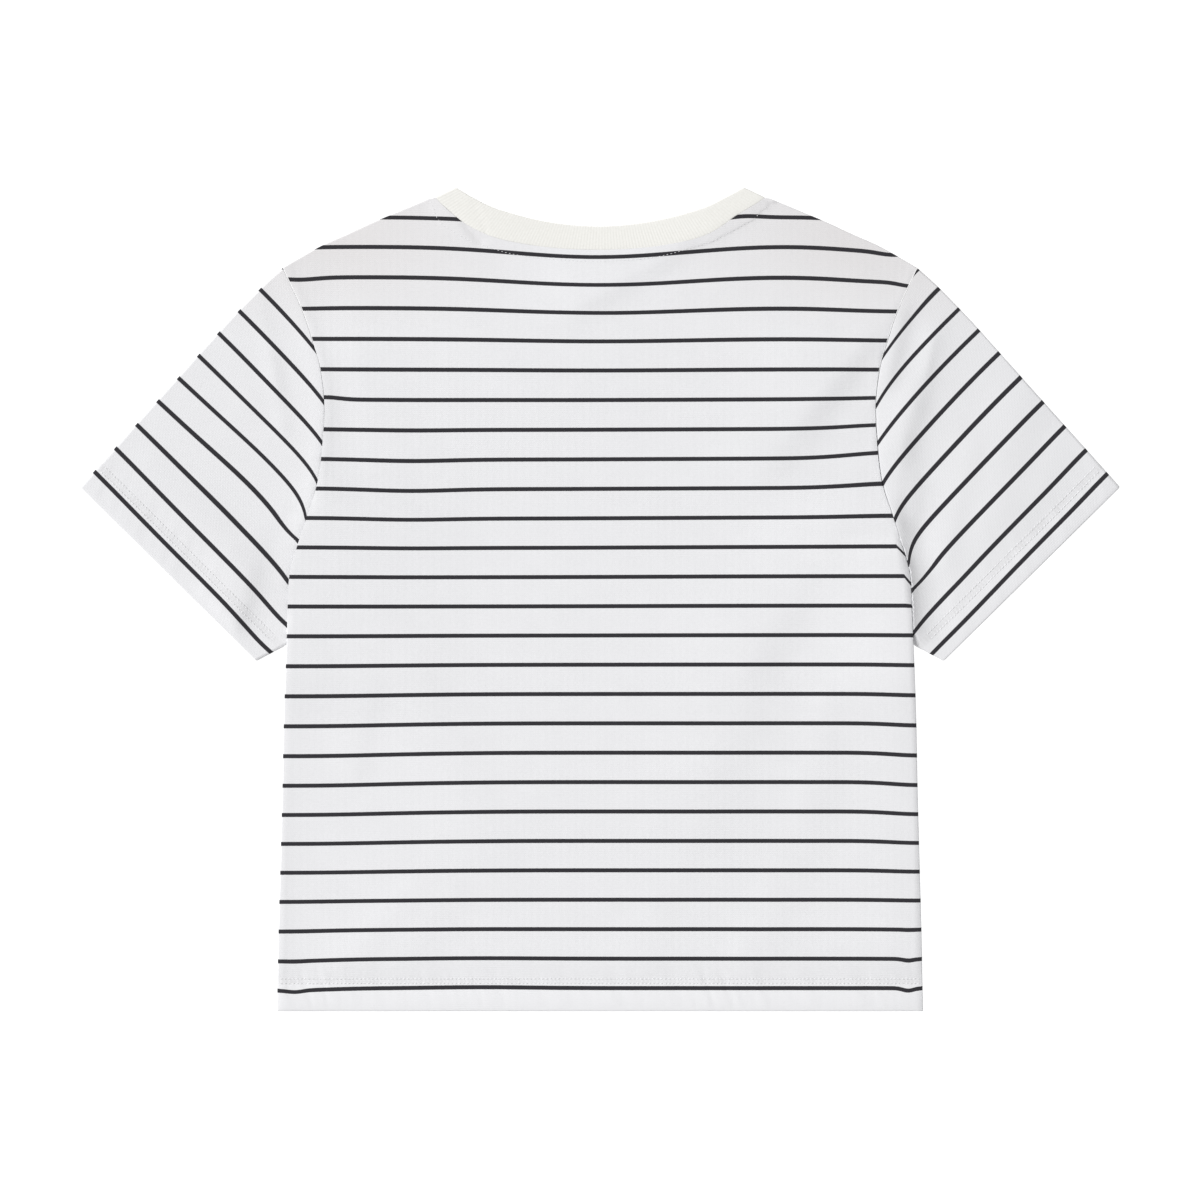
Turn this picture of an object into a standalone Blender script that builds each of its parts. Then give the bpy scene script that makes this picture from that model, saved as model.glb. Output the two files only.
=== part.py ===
"""A short-sleeved, boxy crop top that lies flat on its front.

The back panel lies over the front panel, each sleeve is a flattened tube, and a
folded rib band runs round the neck. The top rests on z = 0, with its neck
towards +Y and the middle of its outline at x = y = 0. The sizes below are
millimetres, and the meshes are metres.
"""

from collections import namedtuple
import math

import bmesh
import bpy
from mathutils import Vector
from mathutils.geometry import interpolate_bezier
import numpy as np

MM = 0.001

# Cloth
WALL = 1.1  # one layer of jersey
HEM_WALL = 1.9  # jersey turned up and stitched
RIB_WALL = 2.1  # rib folded double
LAYER_GAP = 0.3  # between layers that lie on each other
SEAM_GAP = 0.4  # between the edges of two pieces that are sewn together
BAND_CLEARANCE = 0.1  # more, over the band's rounded edges
BAND_SLOPE = (-16.0, -3.0)  # outside its seam, where the cloth over it starts and ends rising
OPENING_SLOPE = (3.0, 18.0)  # past its free edge, where the cloth sags into the neck opening
BACK_CORNER_EASE = 1.2  # of the panel's neck corner, clear of the band's fold
FRONT_CORNER_EASE = 2.2  # clear of the back panel's turned edge too
HEM_DEPTH = 19.5
HEM_STEP = 2.5  # across the stitches, from the doubled cloth to the single

# Outline, flat, right half
HEM_Y = -267.2
SHOULDER_TIP = Vector((205.7, 215.8))
NECK_POINT = Vector((106.9, 261.3))  # neck seam at the shoulder fold
NECK_PEAK = Vector((93.0, 267.8))  # free edge of the band at the shoulder fold
CUFF_TOP = Vector((337.7, 73.1))
CUFF_LOW = Vector((223.0, -40.0))
UNDERARM_Y = 15.0

# The sleeve's underarm is tucked below the body's side edge, which it lifts
TUCK_IN = 9.0
TUCK_LOW_Y = -4.0
TUCK_HIGH_Y = 46.0
TUCK_RISE = 2 * WALL + LAYER_GAP + 0.4
LIFT_FULL = 13.0  # in from the edge
LIFT_FADED = 46.0
LIFT_START_Y = -88.0
LIFT_FULL_Y = -44.0
LIFT_END_Y = 106.0

Point = namedtuple("Point", "x y")

# Right edge of both body panels, from the hem up the side and round the armhole
BODY_EDGE = [
    Point(209.9, HEM_Y),
    Point(208.9, -215.0),
    Point(207.6, -168.0),
    Point(206.4, -122.0),
    Point(205.8, -82.0),
    Point(204.5, -43.0),
    Point(203.3, -12.0),
    Point(201.8, UNDERARM_Y),
    Point(196.7, 33.6),
    Point(190.6, 52.0),
    Point(182.9, 77.0),
    Point(179.7, 104.0),
    Point(178.8, 128.0),
    Point(181.4, 150.5),
    Point(186.0, 167.0),
    Point(193.0, 188.0),
    Point(*SHOULDER_TIP),
]

# Shoulder fold, from just beside the neck seam to the shoulder tip
SHOULDER = [
    Point(109.4, 261.0),
    Point(128.7, 253.0),
    Point(147.6, 245.0),
    Point(163.8, 237.5),
    Point(182.7, 229.0),
    Point(*SHOULDER_TIP),
]

# Neckline seams and free edges of the band, from the middle to the shoulder fold
BACK_SEAM = [
    Point(0.0, 226.9),
    Point(30.0, 228.2),
    Point(54.6, 231.7),
    Point(68.3, 235.0),
    Point(78.0, 238.9),
    Point(89.7, 245.4),
    Point(101.4, 255.2),
]
BACK_FREE = [Point(0.0, 242.1), Point(33.8, 245.2), Point(65.0, 253.0), Point(81.9, 260.9)]
FRONT_SEAM = [
    Point(0.0, 173.0),
    Point(35.0, 176.8),
    Point(66.0, 190.5),
    Point(88.0, 213.0),
    Point(100.0, 238.0),
]
FRONT_FREE = [
    Point(0.0, 188.2),
    Point(32.0, 191.6),
    Point(58.5, 204.0),
    Point(76.5, 222.5),
    Point(87.0, 245.0),
]

# Sleeve folds, from the cuff towards the body
SLEEVE_TOP = [
    Point(*CUFF_TOP),
    Point(292.0, 124.2),
    Point(246.4, 175.2),
    Point(239.2, 183.0),
    Point(231.4, 191.2),
    Point(223.6, 199.2),
    Point(215.4, 207.2),
    Point(SHOULDER_TIP.x + 2 * SEAM_GAP, SHOULDER_TIP.y - 0.4),
]
SLEEVE_UNDER = [
    Point(*CUFF_LOW),
    Point(213.0, -34.6),
    Point(203.6, -29.4),
    Point(197.4, -22.6),
    Point(194.8, -13.6),
]

# Largest folds of the upper layers: soft ridges along a line, fading at both ends
Ridge = namedtuple("Ridge", "x0 y0 x1 y1 width height")
BODY_RIDGES = [
    Ridge(152, 168, 120, 96, 15, 1.7),
    Ridge(176, 120, 138, 52, 17, 1.3),
    Ridge(60, 214, 84, 160, 13, 1.3),
    Ridge(-52, 208, -70, 158, 14, 0.9),
    Ridge(-160, 150, -132, 84, 17, 1.3),
    Ridge(-172, 60, -130, 6, 20, 1.1),
    Ridge(112, -18, 62, -132, 24, 1.5),
    Ridge(160, -92, 128, -196, 22, 1.1),
    Ridge(-118, -52, -70, -168, 26, 1.2),
    Ridge(-20, 60, 16, -40, 30, 0.9),
]
SLEEVE_RIDGES = [
    Ridge(214, 108, 262, 70, 9, 1.9),
    Ridge(212, 62, 238, 14, 9, 1.5),
    Ridge(226, 172, 282, 122, 11, 1.3),
    Ridge(-292, 88, -226, 22, 12, 1.6),
    Ridge(-222, 168, -236, 116, 9, 1.4),
    Ridge(-212, 78, -238, 36, 11, 1.6),
]

# Rounded edge where the back panel turns down round the front panel. The insets
# are measured in from the edge, on a flat and on a fully turned edge, and the
# drop is a share of the way down to what the garment lies on.
Turn = namedtuple("Turn", "flat_inset turned_inset drop")
EDGE_TURN = [
    Turn(1.6, 0.5, 0.0),
    Turn(1.0, 0.15, 0.15),
    Turn(0.5, 0.0, 0.5),
    Turn(0.0, 0.0, 1.0),
]
FRONT_INSET = WALL + 1.2  # of the front panel inside the turned edge
RIM_CLEARANCE = 0.2  # of the turned edge above the floor

ROWS_BEND_Y = -60.0  # above it the rows bend towards the neckline and shoulders

# Fineness of the meshes
NECK_STEPS = 10  # from the middle to the shoulder fold
SHOULDER_STEPS = 6
SIDE_ROWS = 10  # from the hem to the underarm
ARMHOLE_ROWS = 15
SLEEVE_RINGS = 9
SLEEVE_COLUMNS = 10  # across one layer
FOLD_STEPS = 3  # round a quarter of a sleeve's fold
BAND_FOLD_STEPS = 5  # round the band's fold at the shoulder
CURVE_STEPS = 12  # between two given points of a curve
EDGE_STEPS = 120  # along a body panel's edge
FOLD_LINE_STEPS = 400  # along a sleeve's folds, from which its rings pick theirs
WELD = 0.00002

# Colours, linear, and the weave's roughness
WHITE_JERSEY = (0.83, 0.83, 0.85, 1.0)
IVORY_RIB = (0.87, 0.86, 0.82, 1.0)
JERSEY_ROUGHNESS = 0.85
RIB_ROUGHNESS = 0.9


# Curves in plan


def curve_through(points, count):
    """count + 1 points, evenly spaced along a smooth curve through the given ones."""
    given = [Vector(point) for point in points]
    padded = [2 * given[0] - given[1], *given, 2 * given[-1] - given[-2]]
    fine = []
    for before, start, end, after in zip(padded, padded[1:], padded[2:], padded[3:]):
        first_handle = start + (end - before) / 6
        last_handle = end - (after - start) / 6
        fine += interpolate_bezier(start, first_handle, last_handle, end, CURVE_STEPS)[:-1]
    fine.append(given[-1])
    lengths = np.cumsum([0.0] + [(b - a).length for a, b in zip(fine, fine[1:])])
    wanted = np.linspace(0, lengths[-1], count + 1)
    xs = np.interp(wanted, lengths, [point[0] for point in fine])
    ys = np.interp(wanted, lengths, [point[1] for point in fine])
    return [Vector((float(x), float(y))) for x, y in zip(xs, ys)]


def mirrored(points):
    """The points of a line on the other side of x = 0, in the opposite order."""
    return [Vector((-point[0], point[1])) for point in reversed(points)]


def both_sides(half):
    """A line across the whole garment from its right half, which starts at x = 0."""
    return mirrored(half)[:-1] + [Vector(point) for point in half]


def smoothstep(low, high, value):
    share = min(max((value - low) / (high - low), 0.0), 1.0)
    return share * share * (3 - 2 * share)


def mix(start, end, share):
    return start + (end - start) * share


EDGE_LINE = curve_through(BODY_EDGE, EDGE_STEPS)


def half_width(y):
    """From the middle of a body panel to its edge, at a height on the panel."""
    return float(np.interp(y, [p.y for p in EDGE_LINE], [p.x for p in EDGE_LINE]))


# The band's ends lie on the axis of its fold, inside the outline
RIB_WIDTH = (NECK_POINT - NECK_PEAK).length
FOLD_REACH = RIB_WALL + LAYER_GAP / 2
ACROSS_BAND = (NECK_POINT - NECK_PEAK).normalized()
FOLD_OUT = Vector((-ACROSS_BAND.y, ACROSS_BAND.x))
SEAM_END = NECK_POINT - FOLD_OUT * FOLD_REACH
FREE_END = NECK_PEAK - FOLD_OUT * FOLD_REACH


def neck_line(half, end):
    """A neckline from shoulder fold to shoulder fold, NECK_STEPS to a side."""
    return curve_through(both_sides(half + [end]), 2 * NECK_STEPS)


BACK_SEAM_LINE = neck_line(BACK_SEAM, SEAM_END)
FRONT_SEAM_LINE = neck_line(FRONT_SEAM, SEAM_END)
FRONT_SEAM_FINE = curve_through(FRONT_SEAM_LINE, EDGE_STEPS)


# Heights of the layers


def neck_inset(x, y):
    """How far a point in plan lies inside the front neck seam, negative outside it."""
    xs = [point.x for point in FRONT_SEAM_FINE]
    ys = [point.y for point in FRONT_SEAM_FINE]
    nearest = float(np.hypot(np.subtract(xs, x), np.subtract(ys, y)).min())
    inside = abs(x) < xs[-1] and y > np.interp(x, xs, ys)
    return nearest if inside else -nearest


def tuck_lift(x, y):
    """Rise of the body panels over the part of the sleeve that is tucked under them."""
    inward = half_width(y) - abs(x)
    across = 1 - smoothstep(LIFT_FULL, LIFT_FADED, inward)
    along = smoothstep(LIFT_START_Y, LIFT_FULL_Y, y) * (1 - smoothstep(TUCK_HIGH_Y, LIFT_END_Y, y))
    return TUCK_RISE * across * along


def hem_share(height):
    """1 in the doubled cloth of a hem and 0 in the single cloth past its stitches."""
    return 1 - smoothstep(HEM_DEPTH, HEM_DEPTH + HEM_STEP, height)


def under_back(x, y):
    """Top of whatever lies under the back panel and under the band's back half."""
    inside = neck_inset(x, y)
    front = mix(WALL, HEM_WALL, hem_share(y - HEM_Y))
    over_band = mix(front, RIB_WALL + BAND_CLEARANCE, smoothstep(*BAND_SLOPE, inside))
    in_opening = smoothstep(*OPENING_SLOPE, inside - RIB_WIDTH)
    return tuck_lift(x, y) + over_band * (1 - in_opening)


def ridges_at(ridges, x, y):
    """Height of the soft folds at a point in plan."""
    point = Vector((x, y))
    total = 0.0
    for ridge in ridges:
        start = Vector((ridge.x0, ridge.y0))
        along = Vector((ridge.x1, ridge.y1)) - start
        share = min(max((point - start).dot(along) / along.length_squared, 0.0), 1.0)
        away = (point - start - along * share).length
        total += ridge.height * math.exp(-((away / ridge.width) ** 2))
    return total


# Meshes


def cloth_grid(columns, rows, place, hem=None):
    """A grid primitive with each point moved to place(column, row), in millimetres.

    Points that land on each other are welded, which closes a tube. hem(column, row)
    is the weight of the doubled cloth, which the wall's thickness follows.
    """
    cloth = bmesh.new()
    bmesh.ops.create_grid(cloth, x_segments=columns, y_segments=rows, size=1)
    weights = cloth.verts.layers.deform.verify()
    for vertex in cloth.verts:
        column = round((vertex.co.x + 1) / 2 * columns)
        row = round((vertex.co.y + 1) / 2 * rows)
        if hem:
            vertex[weights][0] = hem(column, row)
        vertex.co = Vector(place(column, row)) * MM
    bmesh.ops.remove_doubles(cloth, verts=cloth.verts, dist=WELD)
    return cloth


def material_for(name, colour, roughness):
    material = bpy.data.materials.new(name)
    material.use_nodes = True
    shader = material.node_tree.nodes["Principled BSDF"]
    shader.inputs["Base Color"].default_value = colour
    shader.inputs["Roughness"].default_value = roughness
    shader.inputs["Metallic"].default_value = 0.0
    material.diffuse_color = colour
    return material


def add_piece(name, cloth, collection, colour, roughness):
    mesh = bpy.data.meshes.new(name)
    cloth.to_mesh(mesh)
    cloth.free()
    mesh.shade_smooth()
    mesh.set_sharp_from_angle(angle=math.radians(50))
    mesh.materials.append(material_for(name, colour, roughness))
    piece = bpy.data.objects.new(name, mesh)
    collection.objects.link(piece)
    return piece


def add_wall(piece, side):
    """Thickness on one side of the sheet: 1 along its normals, -1 against them."""
    piece.vertex_groups.new(name="hem")
    wall = piece.modifiers.new("Wall", "SOLIDIFY")
    wall.thickness = HEM_WALL * MM
    wall.offset = side
    wall.vertex_group = "hem"
    wall.thickness_vertex_group = WALL / HEM_WALL


# Body panels

Column = namedtuple("Column", "share on_shoulder turn")
Row = namedtuple("Row", "edge_y turn")


def panel_top(seam_line, corner_ease):
    """Neckline and shoulders of a body panel, from its left tip to its right one."""
    shoulder = curve_through(SHOULDER, SHOULDER_STEPS)
    corner = seam_line[-1] - Vector((0.0, corner_ease))
    return mirrored([corner] + shoulder) + seam_line[1:-1] + [corner] + shoulder


def panel_columns(top_line, seam_line, turns):
    """Columns of a body panel, from its left edge to its right one."""
    neck_width = seam_line[-1].x
    columns = [Column(p.x / SHOULDER_TIP.x, float(abs(p.x) > neck_width), 0) for p in top_line]
    edge = [Column(1.0, 1.0, turn) for turn in range(1, turns)]
    other_edge = [Column(-1.0, 1.0, turn) for turn in reversed(range(1, turns))]
    return other_edge + columns + edge


def panel_rows(turns):
    """Rows of a body panel, from its hem to its neckline and shoulders."""
    stitches = HEM_Y + HEM_DEPTH
    side = np.linspace(stitches + HEM_STEP, UNDERARM_Y, SIDE_ROWS + 1)[:-1]
    armhole = np.linspace(UNDERARM_Y, SHOULDER_TIP.y, ARMHOLE_ROWS + 1)
    heights = [HEM_Y, HEM_Y + HEM_DEPTH / 2, stitches, *map(float, side), *map(float, armhole)]
    rows = [Row(height, 0) for height in heights]
    return rows + [Row(SHOULDER_TIP.y, turn) for turn in range(1, turns)]


def side_turn(y):
    """How far the back panel's edge turns down: fully at the side, not at the armhole."""
    return 1 - smoothstep(TUCK_HIGH_Y, LIFT_END_Y, y)


def panel_point(column, row, top_line, inset, turn_table):
    """Plan position on a body panel whose turned edges end at an inset from the outline."""
    side, top = side_turn(row.edge_y), column.on_shoulder
    across = turn_table[column.turn]
    upward = turn_table[row.turn]
    lowered = top * inset + mix(upward.flat_inset, upward.turned_inset, top)
    top_x = column.share * (SHOULDER_TIP.x - across.flat_inset)
    top_y = float(np.interp(top_x, [p.x for p in top_line], [p.y for p in top_line]))
    rise = smoothstep(ROWS_BEND_Y, SHOULDER_TIP.y, row.edge_y)
    edge = half_width(row.edge_y - rise * lowered) - side * inset
    edge -= mix(across.flat_inset, across.turned_inset, side)
    return column.share * edge, row.edge_y + rise * (top_y - SHOULDER_TIP.y - lowered)


def make_back(collection):
    top_line = panel_top(BACK_SEAM_LINE, BACK_CORNER_EASE)
    columns = panel_columns(top_line, BACK_SEAM_LINE, len(EDGE_TURN))
    rows = panel_rows(len(EDGE_TURN))

    def place(i, j):
        column, row = columns[i], rows[j]
        x, y = panel_point(column, row, top_line, WALL, EDGE_TURN)
        side_drop = side_turn(row.edge_y) * EDGE_TURN[column.turn].drop
        top_drop = column.on_shoulder * EDGE_TURN[row.turn].drop
        dropped = 1 - (1 - side_drop) * (1 - top_drop)
        lying = under_back(x, y) + LAYER_GAP + ridges_at(BODY_RIDGES, x, y)
        return x, y, mix(lying, tuck_lift(x, y) + RIM_CLEARANCE, dropped)

    def hem(i, j):
        return hem_share(rows[j].edge_y - HEM_Y)

    cloth = cloth_grid(len(columns) - 1, len(rows) - 1, place, hem)
    add_wall(add_piece("back_panel", cloth, collection, WHITE_JERSEY, JERSEY_ROUGHNESS), 1)


def make_front(collection):
    top_line = panel_top(FRONT_SEAM_LINE, FRONT_CORNER_EASE)
    columns = panel_columns(top_line, FRONT_SEAM_LINE, 1)
    rows = panel_rows(1)
    straight = [Turn(0.0, 0.0, 0.0)]

    def place(i, j):
        x, y = panel_point(columns[i], rows[j], top_line, FRONT_INSET, straight)
        return x, y, tuck_lift(x, y)

    def hem(i, j):
        return hem_share(rows[j].edge_y - HEM_Y)

    cloth = cloth_grid(len(columns) - 1, len(rows) - 1, place, hem)
    add_wall(add_piece("front_panel", cloth, collection, WHITE_JERSEY, JERSEY_ROUGHNESS), 1)


# Sleeves

Ring = namedtuple("Ring", "top under bulge half_height hem")
Around = namedtuple("Around", "share angle layer")


def sleeve_edge(y):
    """The sleeve's armhole edge: beside the body's, and tucked below it at the underarm."""
    tucked = TUCK_IN * (1 - smoothstep(TUCK_LOW_Y, TUCK_HIGH_Y, y))
    return half_width(y) + SEAM_GAP - tucked


def sleeve_rings():
    """Rings from the cuff to the armhole, with their two fold points in plan."""
    hem_distances = [0.0, HEM_DEPTH / 2, HEM_DEPTH]
    underarm = Vector((sleeve_edge(TUCK_LOW_Y), TUCK_LOW_Y))
    top_line = curve_through(SLEEVE_TOP, FOLD_LINE_STEPS)
    under_line = curve_through(SLEEVE_UNDER + [underarm], FOLD_LINE_STEPS)

    def fold_points(from_cuff, share):
        """Points of both folds, a share of the way on from a distance from the cuff."""
        for line in (top_line, under_line):
            length = sum((b - a).length for a, b in zip(line, line[1:]))
            yield line[round(FOLD_LINE_STEPS * mix(from_cuff / length, 1, share))]

    rings = []
    for from_cuff in hem_distances:
        top, under = fold_points(from_cuff, 0.0)
        rings.append(Ring(top, under, 0.0, HEM_WALL + LAYER_GAP / 2, 1.0))
    for share in map(float, np.linspace(0, 1, SLEEVE_RINGS + 1)):
        top, under = fold_points(HEM_DEPTH + HEM_STEP, share)
        rings.append(Ring(top, under, share**1.5, WALL + LAYER_GAP / 2, 0.0))
    return rings


def sleeve_around():
    """Points around a ring: the under fold, the upper layer, the top fold, the lower one."""
    quarter = [90 * step / FOLD_STEPS for step in range(FOLD_STEPS)]
    across = [step / SLEEVE_COLUMNS for step in range(SLEEVE_COLUMNS + 1)]
    upper = [Around(1.0, angle, 1) for angle in quarter]
    upper += [Around(1 - share, 90.0, 1) for share in across]
    upper += [Around(0.0, angle, 1) for angle in reversed(quarter)]
    lower = [point._replace(layer=-1) for point in reversed(upper)]
    return upper + lower[1:]


def armhole_bulge(share):
    """Offset of the armhole curve from its chord, at a share of the way down it."""
    y = mix(SHOULDER_TIP.y, TUCK_LOW_Y, share)
    chord = mix(sleeve_edge(SHOULDER_TIP.y), sleeve_edge(TUCK_LOW_Y), share)
    return Vector((sleeve_edge(y) - chord, 0.0))


def make_sleeve(name, side, collection):
    rings = sleeve_rings()
    around = sleeve_around()

    def place(i, j):
        ring, point = rings[j], around[i]
        angle = math.radians(point.angle)
        fold_inset = ring.half_height / (ring.under - ring.top).length
        outward = math.copysign(math.cos(angle), point.share - 0.5) * fold_inset
        share = mix(fold_inset, 1 - fold_inset, point.share) + outward
        plan = ring.top.lerp(ring.under, share) + armhole_bulge(share) * ring.bulge
        height = ring.half_height * (1 + point.layer * math.sin(angle))
        if point.layer == 1 and point.angle == 90:
            away_from_folds = math.sin(math.pi * point.share) ** 0.5
            height += ridges_at(SLEEVE_RIDGES, side * plan.x, plan.y) * away_from_folds
        return side * plan.x, plan.y, height

    def hem(i, j):
        return rings[j].hem

    cloth = cloth_grid(len(around) - 1, len(rings) - 1, place, hem)
    if side < 0:
        bmesh.ops.reverse_faces(cloth, faces=cloth.faces)
    add_wall(add_piece(name, cloth, collection, WHITE_JERSEY, JERSEY_ROUGHNESS), -1)


# Neckband

Station = namedtuple("Station", "free seam tilt")


def band_stations():
    """Stations round the band: its back half, right fold, front half and left fold.

    The tilt is the direction that the band's outer face looks in: 90 is up, 0 is
    out over the shoulder fold and -90 is down.
    """
    back_free = neck_line(BACK_FREE, FREE_END)
    front_free = neck_line(FRONT_FREE, FREE_END)
    turns = [90 - 180 * step / BAND_FOLD_STEPS for step in range(1, BAND_FOLD_STEPS)]
    stations = [Station(free, seam, 90.0) for free, seam in zip(back_free, BACK_SEAM_LINE)]
    stations += [Station(back_free[-1], BACK_SEAM_LINE[-1], turn) for turn in turns]
    front = [Station(free, seam, -90.0) for free, seam in zip(front_free, FRONT_SEAM_LINE)]
    stations += reversed(front)
    stations += [Station(back_free[0], BACK_SEAM_LINE[0], turn) for turn in reversed(turns)]
    return stations + stations[:1]


def band_section():
    """(share of the way from the free edge to the seam, height) round the band's wall."""
    half = RIB_WALL / 2
    upper = [(0.04, 0.75), (0.13, 1.0), (0.5, 1.0), (0.94, 1.0)]
    section = [(0.0, 0.0)] + upper + [(1.0, 0.5), (1.0, -0.5)]
    section += [(share, -height) for share, height in reversed(upper)]
    return [(share, height * half) for share, height in section + section[:1]]


def make_band(collection):
    stations = band_stations()
    section = band_section()
    turn_radius = (RIB_WALL + LAYER_GAP) / 2
    axis_height = RIB_WALL + LAYER_GAP / 2

    def place(i, j):
        station, (share, height) = stations[i], section[j]
        across = station.seam - station.free
        share *= 1 - SEAM_GAP / across.length
        plan = station.free + across * share
        outward = Vector((-across.y, across.x)).normalized()
        outward *= math.copysign(1, outward.y)
        tilt = math.radians(station.tilt)
        plan += outward * math.cos(tilt) * (turn_radius + height)
        if station.tilt == 90:
            middle = under_back(plan.x, plan.y) + LAYER_GAP + RIB_WALL / 2
        else:
            middle = axis_height + turn_radius * math.sin(tilt)
        return plan.x, plan.y, middle + height * math.sin(tilt)

    cloth = cloth_grid(len(stations) - 1, len(section) - 1, place)
    bmesh.ops.recalc_face_normals(cloth, faces=cloth.faces)
    add_piece("neckband", cloth, collection, IVORY_RIB, RIB_ROUGHNESS)


def main():
    for old in list(bpy.data.objects):
        bpy.data.objects.remove(old, do_unlink=True)
    collection = bpy.data.collections.new("Crop top")
    bpy.context.scene.collection.children.link(collection)
    make_front(collection)
    make_back(collection)
    make_sleeve("sleeve_left", -1, collection)
    make_sleeve("sleeve_right", 1, collection)
    make_band(collection)


main()
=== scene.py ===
# %% [markdown]
# # A striped crop top, laid flat with its back up
#
# The top is five pieces of cotton knit: a back, a front, two short sleeves and a folded rib
# band round the neck. It has just been smoothed out on a table, so only soft creases, seams and
# turned-up hems stand up from it. Each piece is a sheet of cloth laid over the solid that holds
# its place, and given a real cloth's thickness.

import math

import bpy
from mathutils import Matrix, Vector
from mathutils.bvhtree import BVHTree
from mathutils.geometry import interpolate_bezier
import numpy as np


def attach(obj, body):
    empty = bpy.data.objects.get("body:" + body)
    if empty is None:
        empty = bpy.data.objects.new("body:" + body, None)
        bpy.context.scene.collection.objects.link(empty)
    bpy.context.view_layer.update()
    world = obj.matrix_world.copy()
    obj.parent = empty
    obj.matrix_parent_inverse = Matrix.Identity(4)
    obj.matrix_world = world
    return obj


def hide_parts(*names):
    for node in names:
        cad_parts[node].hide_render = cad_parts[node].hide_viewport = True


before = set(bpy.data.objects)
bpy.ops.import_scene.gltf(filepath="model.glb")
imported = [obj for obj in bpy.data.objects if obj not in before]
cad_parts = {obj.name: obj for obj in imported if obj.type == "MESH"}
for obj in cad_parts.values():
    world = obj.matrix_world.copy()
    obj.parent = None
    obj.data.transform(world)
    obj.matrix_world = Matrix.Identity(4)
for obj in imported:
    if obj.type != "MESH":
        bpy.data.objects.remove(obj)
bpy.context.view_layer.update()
MM = 0.001
print("solids:", ", ".join(sorted(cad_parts)))

# %% [markdown]
# ## The table, the camera and the light
#
# A flat lay is looked at from straight above. A long lens far away keeps the cloth's edges
# parallel. The table is a light table, opal glass lit from below, so no shadow falls on it. One
# large soft light stands low at the upper left, so each crease has a light flank and a dark one.
# It is far away, so the whole top gets the same light. A white surround fills the shadows, and a
# white card near the hem lifts its end a little.

# %% Table, camera and light
SEEN_WIDTH = 780.0  # of the table across the picture
LENS = 100.0
SENSOR = 36.0
CAMERA_Y = -0.3


def srgb(code):
    """A colour written as on a paint card, turned to the linear values that light needs."""
    shares = [int(code[k : k + 2], 16) / 255 for k in (1, 3, 5)]
    linear = [s / 12.92 if s <= 0.04045 else ((s + 0.055) / 1.055) ** 2.4 for s in shares]
    return (*linear, 1.0)


def node(tree, kind, sockets=None, **settings):
    """One shader node, with its settings, and its sockets set or linked."""
    made = tree.nodes.new("ShaderNode" + kind)
    for key, value in settings.items():
        setattr(made, key, value)
    for key, value in (sockets or {}).items():
        value = value.outputs[0] if isinstance(value, bpy.types.Node) else value
        if isinstance(value, bpy.types.NodeSocket):
            tree.links.new(value, made.inputs[key])
        else:
            made.inputs[key].default_value = value
    return made


def new_material(name, roughness, specular=0.5, sheen=0.0):
    """A material, its node tree, and its shader with the shine of its surface."""
    made = bpy.data.materials.new(name)
    made.use_nodes = True
    shader = made.node_tree.nodes["Principled BSDF"]
    shader.inputs["Roughness"].default_value = roughness
    shader.inputs["Specular IOR Level"].default_value = specular
    shader.inputs["Sheen Weight"].default_value = sheen
    return made, made.node_tree, shader


height = SEEN_WIDTH * MM * LENS / SENSOR
bpy.ops.object.select_all(action="DESELECT")
bpy.ops.object.camera_add(location=(0, CAMERA_Y * MM, height), rotation=(0, 0, 0))
camera = bpy.context.object
camera.data.lens = LENS
camera.data.sensor_width = SENSOR
bpy.context.scene.camera = camera

bpy.ops.mesh.primitive_plane_add(size=8, location=(0, 0, -0.0001))
table = bpy.context.object
table.name = "table"
glass, _, shader = new_material("opal glass table", 0.9, 0.2)
shader.inputs["Base Color"].default_value = srgb("#8A8A8A")
shader.inputs["Emission Color"].default_value = srgb("#FFFFFF")
shader.inputs["Emission Strength"].default_value = 0.95
table.data.materials.append(glass)

# name, place, size in metres, power in watts
for name, spot, size, power in (
    ("soft light", (-9.97, 4.23, 10.87), 4.8, 2236),
    ("white card", (0.5, -1.7, 1.1), 1.2, 2.2),
):
    bpy.ops.object.light_add(type="AREA", location=spot)
    lamp = bpy.context.object
    lamp.name = name
    lamp.data.size = size
    lamp.data.energy = power
    lamp.rotation_euler = (-Vector(spot)).to_track_quat("-Z", "Y").to_euler()

surround = bpy.data.worlds.new("white studio")
bpy.context.scene.world = surround
surround.use_nodes = True
background = surround.node_tree.nodes["Background"]
background.inputs["Color"].default_value = srgb("#FFFFFF")
background.inputs["Strength"].default_value = 0.425
bpy.context.scene.view_settings.view_transform = "Standard"
print(f"camera {height:.2f} m above the table")

# %% [markdown]
# ## The outline
#
# A cutter draws a pattern as a few points joined by smooth curves, half of it, and folds the
# paper to get the other half. The same is done here: the points are in millimetres from the
# middle of the laid-out top, for its right half, and a curve is drawn through them. Only the
# neckband differs: it was stretched a little less on the left, so that half has its own points.

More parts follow.
